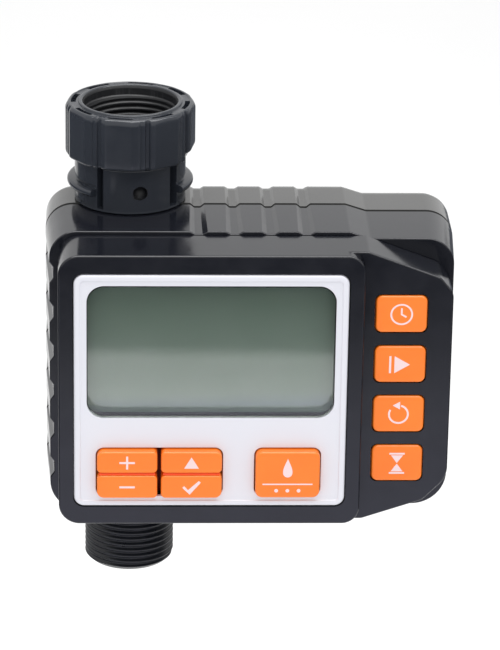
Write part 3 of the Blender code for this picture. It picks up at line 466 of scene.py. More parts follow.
# Corners (x, z, radius) of the hollow in the nose
NOSE_ROOM = (
    (FACE_LEFT + 2.0, FACE_TOP - 2.0, 5.0), (65.5, FACE_TOP - 2.0, 2.0), (85.8, -39.2, 3.0),
    (PANEL_RIGHT - 2.0, -43.0, 3.0), (PANEL_RIGHT - 2.0, -98.0, 6.0), (83.3, -103.9, 4.0),
    (65.5, FACE_BOTTOM + 2.0, 2.0), (FACE_LEFT + 2.0, FACE_BOTTOM + 2.0, 5.0))
FACE_ROOM = (FACE_LEFT + 2.0, FACE_RIGHT - 2.2, FACE_BOTTOM + 2.0, FACE_TOP - 2.0)
# (level, draw) of the sections of the hollow in the rear casing
REAR_ROOM = ((PARTING_REAR - 5, 0), (REAR_FLAT_END, 0.4), (11.0, 2.2), (BACK - WALL, 6.0))
ROOM_WALL = 2.9

SCREW_POINTS = (
    (-18.9, -47.3), (-18.9, -107.6), (31.0, -34.0), (31.0, -110.0), (87.3, -45.0), (87.3, -99.0))
COVER_SCREW_AT = (64.0, -103.6)
# Radii of the bosses, tubes and holes of the casing screws, and of the cover screw's
BOSS, PILOT, TUBE, CLEARANCE, WELL = 3.0, 1.6, 3.6, 1.7, 2.8
COVER_BOSS, COVER_HOLE = 3.4, 1.8
# Radii of the water column's room and bulge, and of the casing's holes at its ends
COLUMN_ROOM, BULGE, NECK_HOLE, OUTLET_HOLE = 15.4, 17.5, 13.0, 13.75

SIDE_KEYS = ("set_clock_button", "start_time_button", "how_often_button", "how_long_button")
MAIN_KEYS = ("plus_button", "minus_button", "up_button", "ok_button")
# How far a key's flange reaches past its cap, on the bezel and on the lower panel
KEY_FLANGE, SIDE_KEY_FLANGE = 1.4, 1.0
# Gaps round a cap in the face that it stands in and in the wall behind the bezel, and round the bezel
KEY_GAP, WALL_GAP, BEZEL_GAP = 0.35, 0.6, 0.3
FRONT_WALL = 3.6


def groove_section(y):
    """A top groove's section at a depth in the casing: wider and shallower towards the front."""
    share = min(1.0, max(0.0, (PARTING_FRONT - y) / (PARTING_FRONT - BAND_FRONT)))
    return [size + change * share for size, change in zip(TOP_GROOVE, TOP_GROOVE_CHANGE)]


def grooved(centres, level, section, scale, flip):
    """Corners (place, level, depth, radius) of straight grooves along an edge, their depth scaled."""
    floor, mouth, depth = section[0], section[1], section[2] * scale
    bends = ((-mouth, 0, MOUTH_BEND), (-floor, depth, FLOOR_BEND), (floor, depth, FLOOR_BEND),
             (mouth, 0, MOUTH_BEND))
    return [(centre + offset * flip, level, sunk, bend) for centre in centres for offset, sunk, bend in bends]


def casing_corners(y, inset=0.0, flare=0.0, scale=1.0):
    """Corners of the grooved casing outline, drawn in by inset and spread sideways by flare."""
    section = groove_section(y)
    left = LEFT - flare + inset
    right = RIGHT + flare - inset
    top = TOP - inset
    bottom = BOTTOM + inset
    big = max(CORNER - inset, 1.5)
    corners = [(left, top, big)]
    for along, level, sunk, radius in grooved(TOP_GROOVES, top, section, scale, 1):
        corners.append((along, level - sunk, radius))
    corners.append((SHOULDER_START, top, SHOULDER_BEND))
    corners.append((SHOULDER_END, top - SHOULDER_DROP, SHOULDER_BEND))
    corners += [(right, top - SHOULDER_DROP, big), (right, bottom + SHOULDER_DROP, big + 2)]
    corners.append((SHOULDER_END, bottom + SHOULDER_DROP, SHOULDER_BEND))
    corners.append((SHOULDER_START, bottom, SHOULDER_BEND))
    for along, level, sunk, radius in grooved(reversed(TOP_GROOVES), bottom, section, scale, -1):
        corners.append((along, level + sunk, radius))
    corners.append((left, bottom, big + 1))
    for along, level, sunk, radius in grooved(reversed(SIDE_GROOVES), left, SIDE_GROOVE, scale, 1):
        corners.append((level + sunk, along, radius))
    return corners


def casing_ring(y, inset=0.0, flare=0.0, scale=1.0):
    return [(x, y, z) for x, z in rounded(casing_corners(y, inset, flare, scale), 4)]


def front_block_ring(y, inset=0.0):
    """Outline of the front block with its sloping shoulders at the right, where the inset counts for less."""
    corners = [
        (FACE_LEFT + inset, FACE_TOP - inset, 6.0 - inset),
        (66.6 - inset * 0.3, FACE_TOP - inset, 3.0),
        (87.2 - inset * 0.4, -37.4 - inset, 4.5),
        (PANEL_RIGHT - inset, -42.0 - inset, 5.0),
        (PANEL_RIGHT - inset, -99.0 + inset, 8.0),
        (84.0 - inset * 0.4, -106.0 + inset, 5.0),
        (66.6 - inset * 0.3, FACE_BOTTOM + inset, 3.0),
        (FACE_LEFT + inset, FACE_BOTTOM + inset, 6.0 - inset),
    ]
    return [(x, y, z) for x, z in rounded(corners, 8)]


def main_face_ring(y, inset=0.0):
    box = (FACE_LEFT + inset, FACE_RIGHT - inset, FACE_BOTTOM + inset, FACE_TOP - inset)
    radii = (6.0 - inset, 5.0 - inset, 5.0 - inset, 6.0 - inset)
    return [(x, y, z) for x, z in rectangle(box, radii, 10)]


def room_ring(y, side, draw=0.0):
    """Outline of the hollow inside the casing."""
    left, right = LEFT + side + draw, RIGHT - side - draw
    top, bottom = TOP - ROOM_WALL - draw, BOTTOM + ROOM_WALL + draw
    corners = [
        (left, top, 6.0), (SHOULDER_START - 2, top, 0), (SHOULDER_END - 2, top - SHOULDER_DROP, 0),
        (right, top - SHOULDER_DROP, 6.0), (right, bottom + SHOULDER_DROP, 7.0),
        (SHOULDER_END - 2, bottom + SHOULDER_DROP, 0), (SHOULDER_START - 2, bottom, 0), (left, bottom, 6.0)]
    return [(x, y, z) for x, z in rounded(corners, 4)]


def rear_ring(angle):
    """Rear casing outline at an angle round the fillet between its sides and its back."""
    inset = REAR_FILLET * (1 - math.cos(angle))
    y = REAR_FLAT_END + REAR_FILLET * math.sin(angle)
    centre = Vector(((LEFT + RIGHT) / 2, 0, (TOP + BOTTOM) / 2))
    shrink_x = 1 - inset / ((RIGHT - LEFT) / 2 + FLARE)
    shrink_z = 1 - inset / ((TOP - BOTTOM) / 2)
    return [(centre.x + (x - centre.x) * shrink_x, y, centre.z + (z - centre.z) * shrink_z)
            for x, _, z in casing_ring(0, 0, FLARE, 1 - math.sin(angle) * GROOVE_RUN_OUT)]


def cap_box(name, reach):
    """The box of a key's cap, which is smaller than its flange by reach."""
    return grown(node_box(name)[0], -reach)


def cluster_box():
    """The box round the caps of the four keys that share one opening."""
    boxes = [cap_box(name, KEY_FLANGE) for name in MAIN_KEYS]
    return (boxes[0][0], boxes[2][1], boxes[1][2], boxes[0][3])


def at_screws(name, radius, near, far, segments):
    """A cylinder along Y at each casing screw."""
    return [cylinder(f"{name}_{index}", radius, near, far, "Y", at, segments)
            for index, at in enumerate(SCREW_POINTS)]


def make_front_casing():
    band = [casing_ring(BAND_FRONT + depth, inset) for depth, inset in edge_arc(BAND_EDGE, 3)]
    band.append(casing_ring(PARTING_FRONT - 0.35, 0, FLARE * 0.985))
    band.append(casing_ring(PARTING_FRONT, 0.2, FLARE))
    shell = loft("front_shell", band)
    nose = [front_block_ring(PANEL_FACE + depth, inset) for depth, inset in edge_arc(NOSE_EDGE, 5)]
    nose += [front_block_ring(BAND_FRONT + depth, inset) for depth, inset in NOSE_FOOT]
    face = [main_face_ring(FACE + depth, inset) for depth, inset in edge_arc(FACE_EDGE, 6)]
    face.append(main_face_ring(PANEL_FACE + 1.5))
    combine(shell, "UNION", loft("nose", nose), loft("face", face))
    bezel = grown(node_box("display_bezel")[0], BEZEL_GAP)
    window = grown(node_box("display_lens")[0], 0.7)
    cluster = grown(cluster_box(), WALL_GAP)
    program = grown(cap_box("program_button", KEY_FLANGE), WALL_GAP)
    cuts = [
        loft("band_room", [room_ring(y, WALL) for y in (BAND_FRONT + WALL, PARTING_FRONT + 5)]),
        plate("nose_room", [rounded(NOSE_ROOM)], PANEL_FACE + WALL, BAND_FRONT + WALL + 1),
        plate("face_room", [rectangle(FACE_ROOM, 5.0)], FACE + 3.0, PANEL_FACE + WALL + 1),
        plate("bezel_seat", [rectangle(bezel, 3.2, 10)], FACE - 1, FACE + 1.5),
        plate("window_hole", [rectangle(window, 4.5)], FACE, FACE + FRONT_WALL),
        plate("cluster_hole", [rectangle(cluster, 1.5)], FACE, FACE + FRONT_WALL),
        plate("program_hole", [rectangle(program, 1.5)], FACE, FACE + FRONT_WALL),
        cylinder("neck_notch", NECK_HOLE, TOP - 5, TOP + 2),
        cylinder("outlet_notch", OUTLET_HOLE, BOTTOM - 2, BOTTOM + 5),
    ]
    for name in SIDE_KEYS:
        opening = rectangle(grown(cap_box(name, SIDE_KEY_FLANGE), KEY_GAP), 1.9)
        cuts.append(plate(name + "_hole", [opening], PANEL_FACE - 1, PANEL_FACE + 3))
    combine(shell, "DIFFERENCE", *cuts)
    combine(shell, "UNION", *at_screws("boss", BOSS, BAND_FRONT + 0.6, PARTING_FRONT - 0.02, 24))
    combine(shell, "DIFFERENCE", *at_screws("pilot", PILOT, -24.0, PARTING_FRONT + 1, 16))
    finish(shell, "casing", "casing", "front_casing")


def make_rear_casing():
    rings = [casing_ring(PARTING_REAR, 0, FLARE)]
    rings += [rear_ring(math.radians(angle)) for angle in range(0, 91, 9)]
    shell = loft("rear_shell", rings)
    bulge = cylinder("bulge", BULGE, BOTTOM + 1.0, TOP - 0.8, segments=96)
    soften(bulge, 1.2, 4)
    combine(bulge, "DIFFERENCE", block("bulge_front", (-30, -30, -130), (30, PARTING_REAR, 0)))
    combine(shell, "UNION", bulge)
    room = loft("rear_room", [room_ring(y, 1.5, draw) for y, draw in REAR_ROOM])
    combine(shell, "DIFFERENCE", room, cylinder("column_room", COLUMN_ROOM, BOTTOM + 2.7, TOP - 3.2))
    tubes = at_screws("tube", TUBE, PARTING_REAR + 0.02, 9.5, 24)
    cover_boss = cylinder("cover_boss", COVER_BOSS, 5.5, BACK - 1.0, "Y", COVER_SCREW_AT, 24)
    combine(shell, "UNION", *tubes, cover_boss)
    cuts = []
    for index, at in enumerate(SCREW_POINTS):
        cuts.append(cylinder(f"clear_{index}", CLEARANCE, PARTING_REAR - 1, 6.0, "Y", at, 16))
        cuts.append(cylinder(f"well_{index}", WELL, 2.0, BACK + 3, "Y", at, 32))
    mouth = grown(node_box("battery_box")[0], 0.7)
    cuts += [
        cylinder("cover_pilot", COVER_HOLE, 7.0, BACK + 1, "Y", COVER_SCREW_AT, 24),
        plate("mouth", [rectangle(mouth, 3.0)], 10.0, BACK + 2),
        cylinder("neck_hole", NECK_HOLE, TOP - 5, TOP + 2),
        block("neck_slot", (-NECK_HOLE, -9, TOP - 5), (NECK_HOLE, 0, TOP + 2)),
        cylinder("outlet_hole", OUTLET_HOLE, BOTTOM - 2, BOTTOM + 5),
        block("outlet_slot", (-OUTLET_HOLE, -9, BOTTOM - 2), (OUTLET_HOLE, 0, BOTTOM + 5)),
    ]
    combine(shell, "DIFFERENCE", *cuts)
    finish(shell, "rear", "casing", "rear_casing")


# ---------------------------------------------------------------- front panel
# (depth, inset) of the raised rim round the bezel, from the flat face out to its crest
BEZEL_RIM = [(0.35, 1.95), (0.33, 1.85), (0.05, 1.7), (0.0, 1.6)]
BEZEL_EDGE, BEZEL_CORNER = 0.9, 2.9


def make_bezel():
    box, (front, back) = node_box("display_bezel")
    rings = [[(x, front + depth, z) for x, z in rectangle(grown(box, -inset), BEZEL_CORNER - inset, 10)]
             for depth, inset in BEZEL_RIM + edge_arc(BEZEL_EDGE, 6)]
    rings.append([(x, back, z) for x, z in rectangle(box, BEZEL_CORNER, 10)])
    bezel = loft("bezel", rings)
    window = grown(node_box("display_lens")[0], 0.3)
    cluster = grown(cluster_box(), KEY_GAP)
    program = grown(cap_box("program_button", KEY_FLANGE), KEY_GAP)
    holes = [plate("window_cut", [rectangle(window, 4.9, 14)], front - 1, back + 1),
             plate("cluster_cut", [rectangle(cluster, 2.3, 8)], front - 1, back + 1),
             plate("program_cut", [rectangle(program, 2.3, 8)], front - 1, back + 1)]
    combine(bezel, "DIFFERENCE", *holes)
    soften(bezel, 0.28, 3, 50.0)
    finish(bezel, "bezel", "casing", "display_bezel")


def make_display():
    window, (front, back) = node_box("display_lens")
    lens = plate("display_window", [rectangle(window, 4.6, 14)], front, back, 0.2, 3)
    finish(lens, "lens", "casing", "display_lens")
    panel_box, (near, far) = node_box("display_panel")
    glass = plate("display_glass", [rectangle(panel_box, 0.5, 4)], near, far, 0.15, 2)
    finish(glass, "display", "casing", "display_panel")
    hood, (near, far) = node_box("display_frame")
    outlines = [rectangle(hood, 1.5, 6), rectangle(grown(window, 0.1), 3.4, 10)]
    surround = plate("display_hood", outlines, near, far)
    pocket = plate("hood_pocket", [rectangle(grown(window, 1.3), 0.5, 4)], near + 1.3, far + 1)
    combine(surround, "DIFFERENCE", pocket)
    finish(surround, "frame", "casing", "display_frame")


# How far the flat of a cap is drawn in from its rolled edge, and how thick its flange is
CAP_FLAT, FLANGE_THICKNESS = 1.2, 0.6


def cap(name, box, flange, depths, radii, edge):
    """A push button: a flat face with rolled edges, and a flange behind the wall."""
    front, back = depths
    flat_radii = tuple(max(radius - edge - CAP_FLAT, 0.2) for radius in radii)
    rings = [[(x, front, z) for x, z in rectangle(grown(box, -edge - CAP_FLAT), flat_radii, 8)]]
    for depth, inset in edge_arc(edge, 7):
        ring_radii = tuple(max(radius - inset, 0.25) for radius in radii)
        rings.append([(x, front + depth, z) for x, z in rectangle(grown(box, -inset), ring_radii, 8)])
    rings.append([(x, back - 0.3, z) for x, z in rectangle(box, radii, 8)])
    body = loft(name + "_cap", rings)
    foot = plate(name + "_flange", [rectangle(flange, 0.8, 4)], back - FLANGE_THICKNESS, back)
    combine(body, "UNION", foot)
    finish(body, "orange", name, name)


# Outlines for the marks on the buttons: (x, z) points about a button's centre
def bar(width, height, x=0.0, z=0.0):
    return [(x - width / 2, z - height / 2), (x + width / 2, z - height / 2),
            (x + width / 2, z + height / 2), (x - width / 2, z + height / 2)]


def cross(width, height, stroke):
    w, h, s = width / 2, height / 2, stroke / 2
    return [(-w, -s), (-s, -s), (-s, -h), (s, -h), (s, -s), (w, -s),
            (w, s), (s, s), (s, h), (-s, h), (-s, s), (-w, s)]


def circle(radius, x=0.0, z=0.0, steps=36):
    return [(x + radius * math.cos(2 * math.pi * k / steps), z + radius * math.sin(2 * math.pi * k / steps))
            for k in range(steps)]


def arc_band(radius, stroke, start, end, steps=28):
    """A band along part of a circle, between two angles in degrees."""
    points = []
    for reach, order in ((radius + stroke / 2, 1), (radius - stroke / 2, -1)):
        for k in range(steps + 1)[::order]:
            angle = math.radians(start + (end - start) * k / steps)
            points.append((reach * math.cos(angle), reach * math.sin(angle)))
    return points


def drop_outline(width, height, z=0.0, steps=40):
    """A drop: a round bottom drawn up to a point."""
    points = []
    for k in range(steps):
        t = 2 * math.pi * k / steps
        pull = math.sin(t / 2) ** 1.6
        points.append((width / 2 * math.sin(t) * pull * 1.12, z + height / 2 * math.cos(t)))
    return points


def stroke_line(points, width):
    """A band of even width along an open run of points."""
    left, right = [], []
    for index, (x, z) in enumerate(points):
        ahead = Vector(points[min(index + 1, len(points) - 1)]) - Vector(points[max(index - 1, 0)])
        side = Vector((-ahead.y, ahead.x)).normalized() * (width / 2)
        if 0 < index < len(points) - 1:
            before = (Vector(points[index]) - Vector(points[index - 1])).normalized()
            side /= max(0.5, abs(before.dot(ahead.normalized())))
        left.append((x + side.x, z + side.y))
        right.append((x - side.x, z - side.y))
    return left + right[::-1]


MARKS = {
    "plus_button": [[cross(4.4, 4.0, 0.6)]],
    "minus_button": [[bar(4.4, 0.6)]],
    "up_button": [[[(-2.1, -1.75), (2.1, -1.75), (0.0, 1.75)]]],
    "ok_button": [[stroke_line([(-2.3, 0.1), (-0.7, -1.6), (2.4, 1.7)], 0.75)]],
    "program_button": [[drop_outline(3.5, 5.9, 2.3)], [bar(14.3, 0.4, 0.0, -2.8)],
                       *[[circle(0.55, x, -4.8, 20)] for x in (-3.2, 0.0, 3.2)]],
    "set_clock_button": [[circle(3.2), circle(2.7)],
                         [stroke_line([(0.0, 1.9), (0.0, 0.0), (1.4, -0.8)], 0.5)]],
    "start_time_button": [[[(-1.6, -2.6), (2.8, 0.0), (-1.6, 2.6)]], [bar(0.6, 5.2, -2.8, 0.0)]],
    "how_often_button": [[arc_band(2.7, 0.55, 75, -210)], [[(0.4, 1.5), (0.4, 3.9), (-1.7, 2.7)]]],
    "how_long_button": [[stroke_line([(-2.2, 3.0), (2.2, 3.0)], 0.55)],
                        [stroke_line([(-2.2, -3.0), (2.2, -3.0)], 0.55)],
                        [[(-1.7, 2.5), (1.7, 2.5), (0.0, 0.1)]],
                        [[(-1.7, -2.5), (0.0, -0.1), (1.7, -2.5)]]],
}
MARK_PROUD, MARK_DEPTH = 0.05, 0.25


def add_marks(name, centre, front):
    """The printed marks of a button, as thin raised ink on its face."""
    for index, outlines in enumerate(MARKS[name]):
        placed = [[(centre[0] + a, centre[1] + b) for a, b in outline] for outline in outlines]
        mark = plate(f"{name}_mark_{index}", placed, front - MARK_PROUD, front + MARK_DEPTH)
        finish(mark, "mark", name, slot="bezel_white")


# Column, row and outer corner of each key in the cluster, and the places where the columns and rows part
CLUSTER = {
    "plus_button": (0, 0, 0), "minus_button": (0, 1, 3), "up_button": (1, 0, 1), "ok_button": (1, 1, 2)}
COLUMN_ENDS, ROW_ENDS, RIB_ENDS = (7.75, 8.8), (-94.9, -95.7), (-95.55, -95.05)
INNER_CORNER, OUTER_CORNER, SIDE_KEY_CORNER = 1.3, 2.0, 1.8
KEY_EDGE, PROGRAM_EDGE = 0.6, 0.7


def make_key(name, box, radii, edge):
    flange, depths = node_box(name)
    cap(name, box, flange, depths, radii, edge)
    add_marks(name, ((box[0] + box[1]) / 2, (box[2] + box[3]) / 2), depths[0])


def make_keys():
    cluster = cluster_box()
    columns = ((cluster[0], COLUMN_ENDS[0]), (COLUMN_ENDS[1], cluster[1]))
    rows = ((ROW_ENDS[0], cluster[3]), (cluster[2], ROW_ENDS[1]))
    for name, (column, row, outer) in CLUSTER.items():
        radii = [INNER_CORNER] * 4
        radii[outer] = OUTER_CORNER
        make_key(name, (*columns[column], *rows[row]), tuple(radii), KEY_EDGE)
    front, back = node_box("ok_button")[1]
    # A strip in the gap between the key rows; its deep red is painted shade of the orange keys in the gap
    for index, (left, right) in enumerate(columns):
        strip = rectangle((left + 0.6, right - 0.6, *RIB_ENDS), 0.1, 2)
        shaded_rib = plate(f"key_shaded_rib_{index}", [strip], front + 0.4, back - FLANGE_THICKNESS - 0.1)
        finish(shaded_rib, "shaded_rib", "casing", slot="rubber_grey")
    make_key("program_button", cap_box("program_button", KEY_FLANGE), (OUTER_CORNER,) * 4, PROGRAM_EDGE)
    for name in SIDE_KEYS:
        make_key(name, cap_box(name, SIDE_KEY_FLANGE), (SIDE_KEY_CORNER,) * 4, KEY_EDGE)


# ---------------------------------------------------------------- water column
THREAD_PITCH = 1.814


def ridge(phase, flat):
    """Height from 0 to 1 of a thread's flank at a phase between 0 and 1, with rounded crest and root."""
    rise = abs((phase % 1.0) * 2 - 1)
    rise = (rise - flat) / (1 - 2 * flat)
    rise = min(1.0, max(0.0, rise))
    return rise * rise * (3 - 2 * rise) * 0.5 + rise * 0.5


def thread_run(angle, radius, height, flat, top, length, last, fades):
    """(radius, level) points down a helical thread, which fades over its first and its last points."""
    run = []
    for k in range(last + 1):
        level = top - length * k / last
        fade = min(1.0, k / fades[0], (last - k) / fades[1])
        run.append((radius + height * ridge(level / THREAD_PITCH + angle / 360.0, flat) * fade, level))
    return run


NUT_TURN = -10.6
NUT_LOBES, LOBE_STEP = 8, 45
FLAT_RADIUS, FLAT_HALF = 18.7, 11.4
NUT_SHOULDER, NUT_FOOT, RAISED_FOOT = -1.5, -14.7, -12.6
# Radius inside which the nut's inner faces take the darker colour that paints shade in its bore
SHADED_BORE_RADIUS = 13.8
# Offsets in degrees from a lobe's middle at which the nut's section is taken
LOBE_CUTS = (-22.5, -21.4, -20.8, -20.2, -18.8, -17.4, -16.8, -16.2, -15.6, -12.7, -12.3, -10.0, -5.0, 0.0,
             5.0, 10.0, 11.2, 11.6, 12.3, 12.7, 16.0, 18.6, 19.1, 19.6, 21.0)


def nut_columns():
    return [NUT_TURN + LOBE_STEP * lobe + offset for lobe in range(NUT_LOBES) for offset in LOBE_CUTS]


# (offset, radius) of a lobe before its flat face, rib and channel, and after it, slope and rib
LOBE_START = ((-22.5, 18.4), (-21.3, 18.4), (-20.2, 17.85), (-17.4, 17.85), (-16.2, 18.5), (-15.6, 18.6),
              (-FLAT_HALF, FLAT_RADIUS))
LOBE_END = ((FLAT_HALF, FLAT_RADIUS), (18.6, 18.5), (19.6, 18.25), (21.0, 18.4), (22.5, 18.4))


def nut_radius(offset):
    """Outer radius of the nut at an angle from a lobe's middle."""
    if -FLAT_HALF < offset <= FLAT_HALF:
        return FLAT_RADIUS * math.cos(math.radians(FLAT_HALF)) / math.cos(math.radians(offset))
    run = LOBE_END if offset > FLAT_HALF else LOBE_START
    for (start, near), (end, far) in zip(run, run[1:]):
        if offset <= end:
            return near + (far - near) * (offset - start) / (end - start)
    return run[-1][1]


def nut_profile(angle):
    """The nut's (radius, level) section: outside, rounded shoulder, rim with its pockets, thread and base."""
    offset = (angle - NUT_TURN + LOBE_STEP / 2) % LOBE_STEP - LOBE_STEP / 2
    outer = nut_radius(offset)
    pocket = -1.3 if abs(offset) < 12.5 else 0.32
    lobe = round((angle - NUT_TURN - offset) / LOBE_STEP) % NUT_LOBES
    foot = RAISED_FOOT if lobe == 2 and abs(offset) < 20.0 else NUT_FOOT
    side = [(outer - 0.9, foot), (outer - 0.35, foot + 0.15), (outer - 0.1, foot + 0.4)]
    side += [(outer, foot + 0.9 + (NUT_SHOULDER - foot - 0.9) * k / 6) for k in range(7)]
    for k in range(1, 8):
        turn = math.pi / 2 * k / 7
        side.append((outer + (17.55 - outer) * (1 - math.cos(turn)), NUT_SHOULDER + 2.0 * math.sin(turn)))
    rim = [(17.3, 0.55), (17.12, 0.5), (17.05, 0.35), (16.95, pocket - 0.02), (15.75, pocket), (15.65, 0.32),
           (15.0, 0.30), (14.92, 0.38), (14.88, 0.7), (14.75, 0.86), (14.55, 0.9), (14.1, 0.9)]
    mouth = [(13.88, 0.84), (13.75, 0.65), (13.45, 0.0), (13.4, -0.2), (13.4, -1.9), (13.3, -2.15),
             (13.05, -2.3)]
    thread = thread_run(angle, radius=13.0, height=-0.4, flat=0.3, top=-2.5, length=7.6, last=49,
                        fades=(6, 6))
    base = [(13.0, -10.2), (12.95, -10.3), (12.95, -12.9), (11.6, -12.9), (11.6, -14.5), (11.8, NUT_FOOT),
            (15.5, NUT_FOOT), (16.6, NUT_FOOT), (16.65, min(NUT_FOOT + 0.05, foot))]
    return side + rim + mouth + thread + base


def make_nut():
    nut = round_field("nut_shell", nut_profile, nut_columns())
    finish(nut, "fitting", "swivel_nut", "swivel_nut", angle=50.0)
    # Painted shade: the faces inside the bore take the darker colour
    nut.data.materials.append(M["bore"])
    for polygon in nut.data.polygons:
        middle = polygon.center / MM
        if math.hypot(middle.x, middle.y) < SHADED_BORE_RADIUS and middle.z < 0.6:
            polygon.material_index = 1


def within(angle, start, end):
    return (angle - start) % 360 < (end - start) % 360


# Spans of the collar's slots and of its two flanges, in degrees from the front, and the width of their ends
SLOTS = ((-35.8, -29.1), (45.5, 55.5), (144.2, 150.9), (225.5, 235.5))
FLANGES = ((-124.5, -38.5), (55.5, 141.5))
SPAN_END = 0.7
COLLAR_WALL, SLOT_WALL, COLLAR_BORE = 16.0, 13.7, 12.9


def collar_columns():
    edges = sorted(edge % 360 for pair in (*SLOTS, *FLANGES) for edge in pair)
    columns = {round(step * 3.0, 2) for step in range(120)}
    columns = {c for c in columns if min(abs((c - e + 180) % 360 - 180) for e in edges) > SPAN_END + 0.1}
    for edge in edges:
        columns |= {round((edge - SPAN_END / 2) % 360, 2), round((edge + SPAN_END / 2) % 360, 2)}
    return sorted(columns)


def collar_profile(angle):
    """The collar's (radius, level) section: foot, wall, flange or plain wall, groove and top."""
    slotted = any(within(angle, *pair) for pair in SLOTS)
    flanged = any(within(angle, *pair) for pair in FLANGES)
    wall = SLOT_WALL if slotted else COLLAR_WALL
    points = [(COLLAR_BORE, -28.4), (15.8, -28.4), (16.0, -28.3), (16.05, -28.1), (16.02, -27.9)]
    points += [(COLLAR_WALL, -27.75), (COLLAR_WALL, -27.6), (wall, -27.5), (wall, -25.8), (wall, -24.3)]
    if flanged:
        points += [(16.1, -24.1), (17.3, -24.0), (17.9, -23.75), (18.15, -23.3), (18.2, -22.9),
                   (18.15, -22.5), (17.9, -22.1), (17.3, -21.9), (16.1, -21.8)]
    else:
        points += [(wall, -24.1 + 2.3 * k / 8) for k in range(9)]
    groove = 15.75 if flanged else wall
    points += [(groove, -21.6), (groove, -21.0), (wall, -20.8), (wall, -18.5), (wall, -15.7)]
    points += [(wall - 0.1, -15.35), (wall - 0.35, -15.1), (wall - 0.7, -15.0), (COLLAR_BORE, -15.0)]
    return points


# The round dimple in the front of the collar, and the levels in Y between which its faces lie and take the
# darker colour of painted shade
DIMPLE_AT, DIMPLE_RADIUS = (0, -15.6, -22.1), 2.1
DIMPLE_TURN = math.radians(10.2)
DIMPLE_FRONT, DIMPLE_BACK = -15.95, -13.2


def make_collar():
    collar = round_field("collar", collar_profile, collar_columns())
    ball = bmesh.new()
    bmesh.ops.create_uvsphere(ball, u_segments=32, v_segments=20, radius=DIMPLE_RADIUS * MM)
    ball.transform(Matrix.Rotation(DIMPLE_TURN, 4, "Z") @ Matrix.Translation(Vector(DIMPLE_AT) * MM))
    combine(collar, "DIFFERENCE", link("dimple", ball))
    finish(collar, "fitting", "casing", "neck_collar", angle=45.0)
    # Painted shade: the dimple's faces take the darker colour
    collar.data.materials.append(M["bore"])
    for polygon in collar.data.polygons:
        middle = Matrix.Rotation(-DIMPLE_TURN, 3, "Z") @ polygon.center / MM
        near_axis = math.hypot(middle.x, middle.z - DIMPLE_AT[2]) < DIMPLE_RADIUS + 0.1
        if near_axis and DIMPLE_FRONT < middle.y < DIMPLE_BACK:
            polygon.material_index = 1


OUTLET_COLUMNS = 144


def outlet_profile(angle):
    """The outlet's (radius, level) section: bore and shoulder inside the casing, thread and plain end."""
    inside = [(7.5, -110.0), (7.5, -84.0), (10.3, -84.0), (10.3, -109.6), (14.0, -109.6), (14.0, -112.0),
              (13.2, -112.2), (13.2, -119.2), (12.9, -119.6)]
    thread = thread_run(angle, radius=12.5, height=0.7, flat=0.12, top=-119.8, length=22.2, last=135,
                        fades=(5, 4))
    end = [(12.15, -142.3), (11.8, -142.65), (11.4, -142.78), (8.9, -142.8), (8.6, -142.65), (8.5, -142.3),
           (8.5, -112.0)]
    return inside + thread + end


def make_outlet():
    columns = [360 / OUTLET_COLUMNS * step for step in range(OUTLET_COLUMNS)]
    outlet = round_field("outlet_thread", outlet_profile, columns)
    finish(outlet, "outlet", "casing", "outlet_fitting", angle=50.0)


# ---------------------------------------------------------------- back
COVER_EDGE, COVER_CORNER = 0.9, 4.0
GRIP_COUNT, GRIP_STEP, GRIP_ENDS, GRIP_LEVELS = 6, 2.2, (55.0, 73.0), (-44.6, -43.6)


def make_battery_cover():
    box, (_, far) = node_box("battery_cover")
    rings = [[(x, far - depth, z) for x, z in rectangle(grown(box, -inset), COVER_CORNER - inset, 8)]
             for depth, inset in edge_arc(COVER_EDGE, 5)]
    rings.append([(x, BACK + 0.9, z) for x, z in rectangle(box, COVER_CORNER, 8)])
    cover = loft("rear_cover", rings)
    mouth = node_box("battery_box")[0]
    combine(cover, "UNION", plate("plug", [rectangle(grown(mouth, 0.4), 2.7)], 12.6, BACK + 1.4))
    cuts = [plate("plug_core", [rectangle(grown(mouth, -1.2), 1.5)], 11.5, BACK + 1.0)]
    for k in range(GRIP_COUNT):
        low, high = (level - GRIP_STEP * k for level in GRIP_LEVELS)
        cuts.append(plate(f"grip_{k}", [rectangle((*GRIP_ENDS, low, high), 0.45, 4)], BACK + 2.4, BACK + 4))
    cuts.append(cylinder("cover_hole", COVER_HOLE, BACK - 1, BACK + 4, "Y", COVER_SCREW_AT, 32))
    combine(cover, "DIFFERENCE", *cuts)
    finish(cover, "rear", "battery_cover", "battery_cover")


def paint_frame():
    """Procedural materials on the CAD pieces that stay as they are."""
    for name, piece in frame["nodes"].items():
        if piece.hide_render:
            continue
        piece.data.materials.clear()
        piece.data.materials.append(M[SLOT_LOOK[SLOT_OF[name]]])
        for polygon in piece.data.polygons:
            polygon.material_index = 0


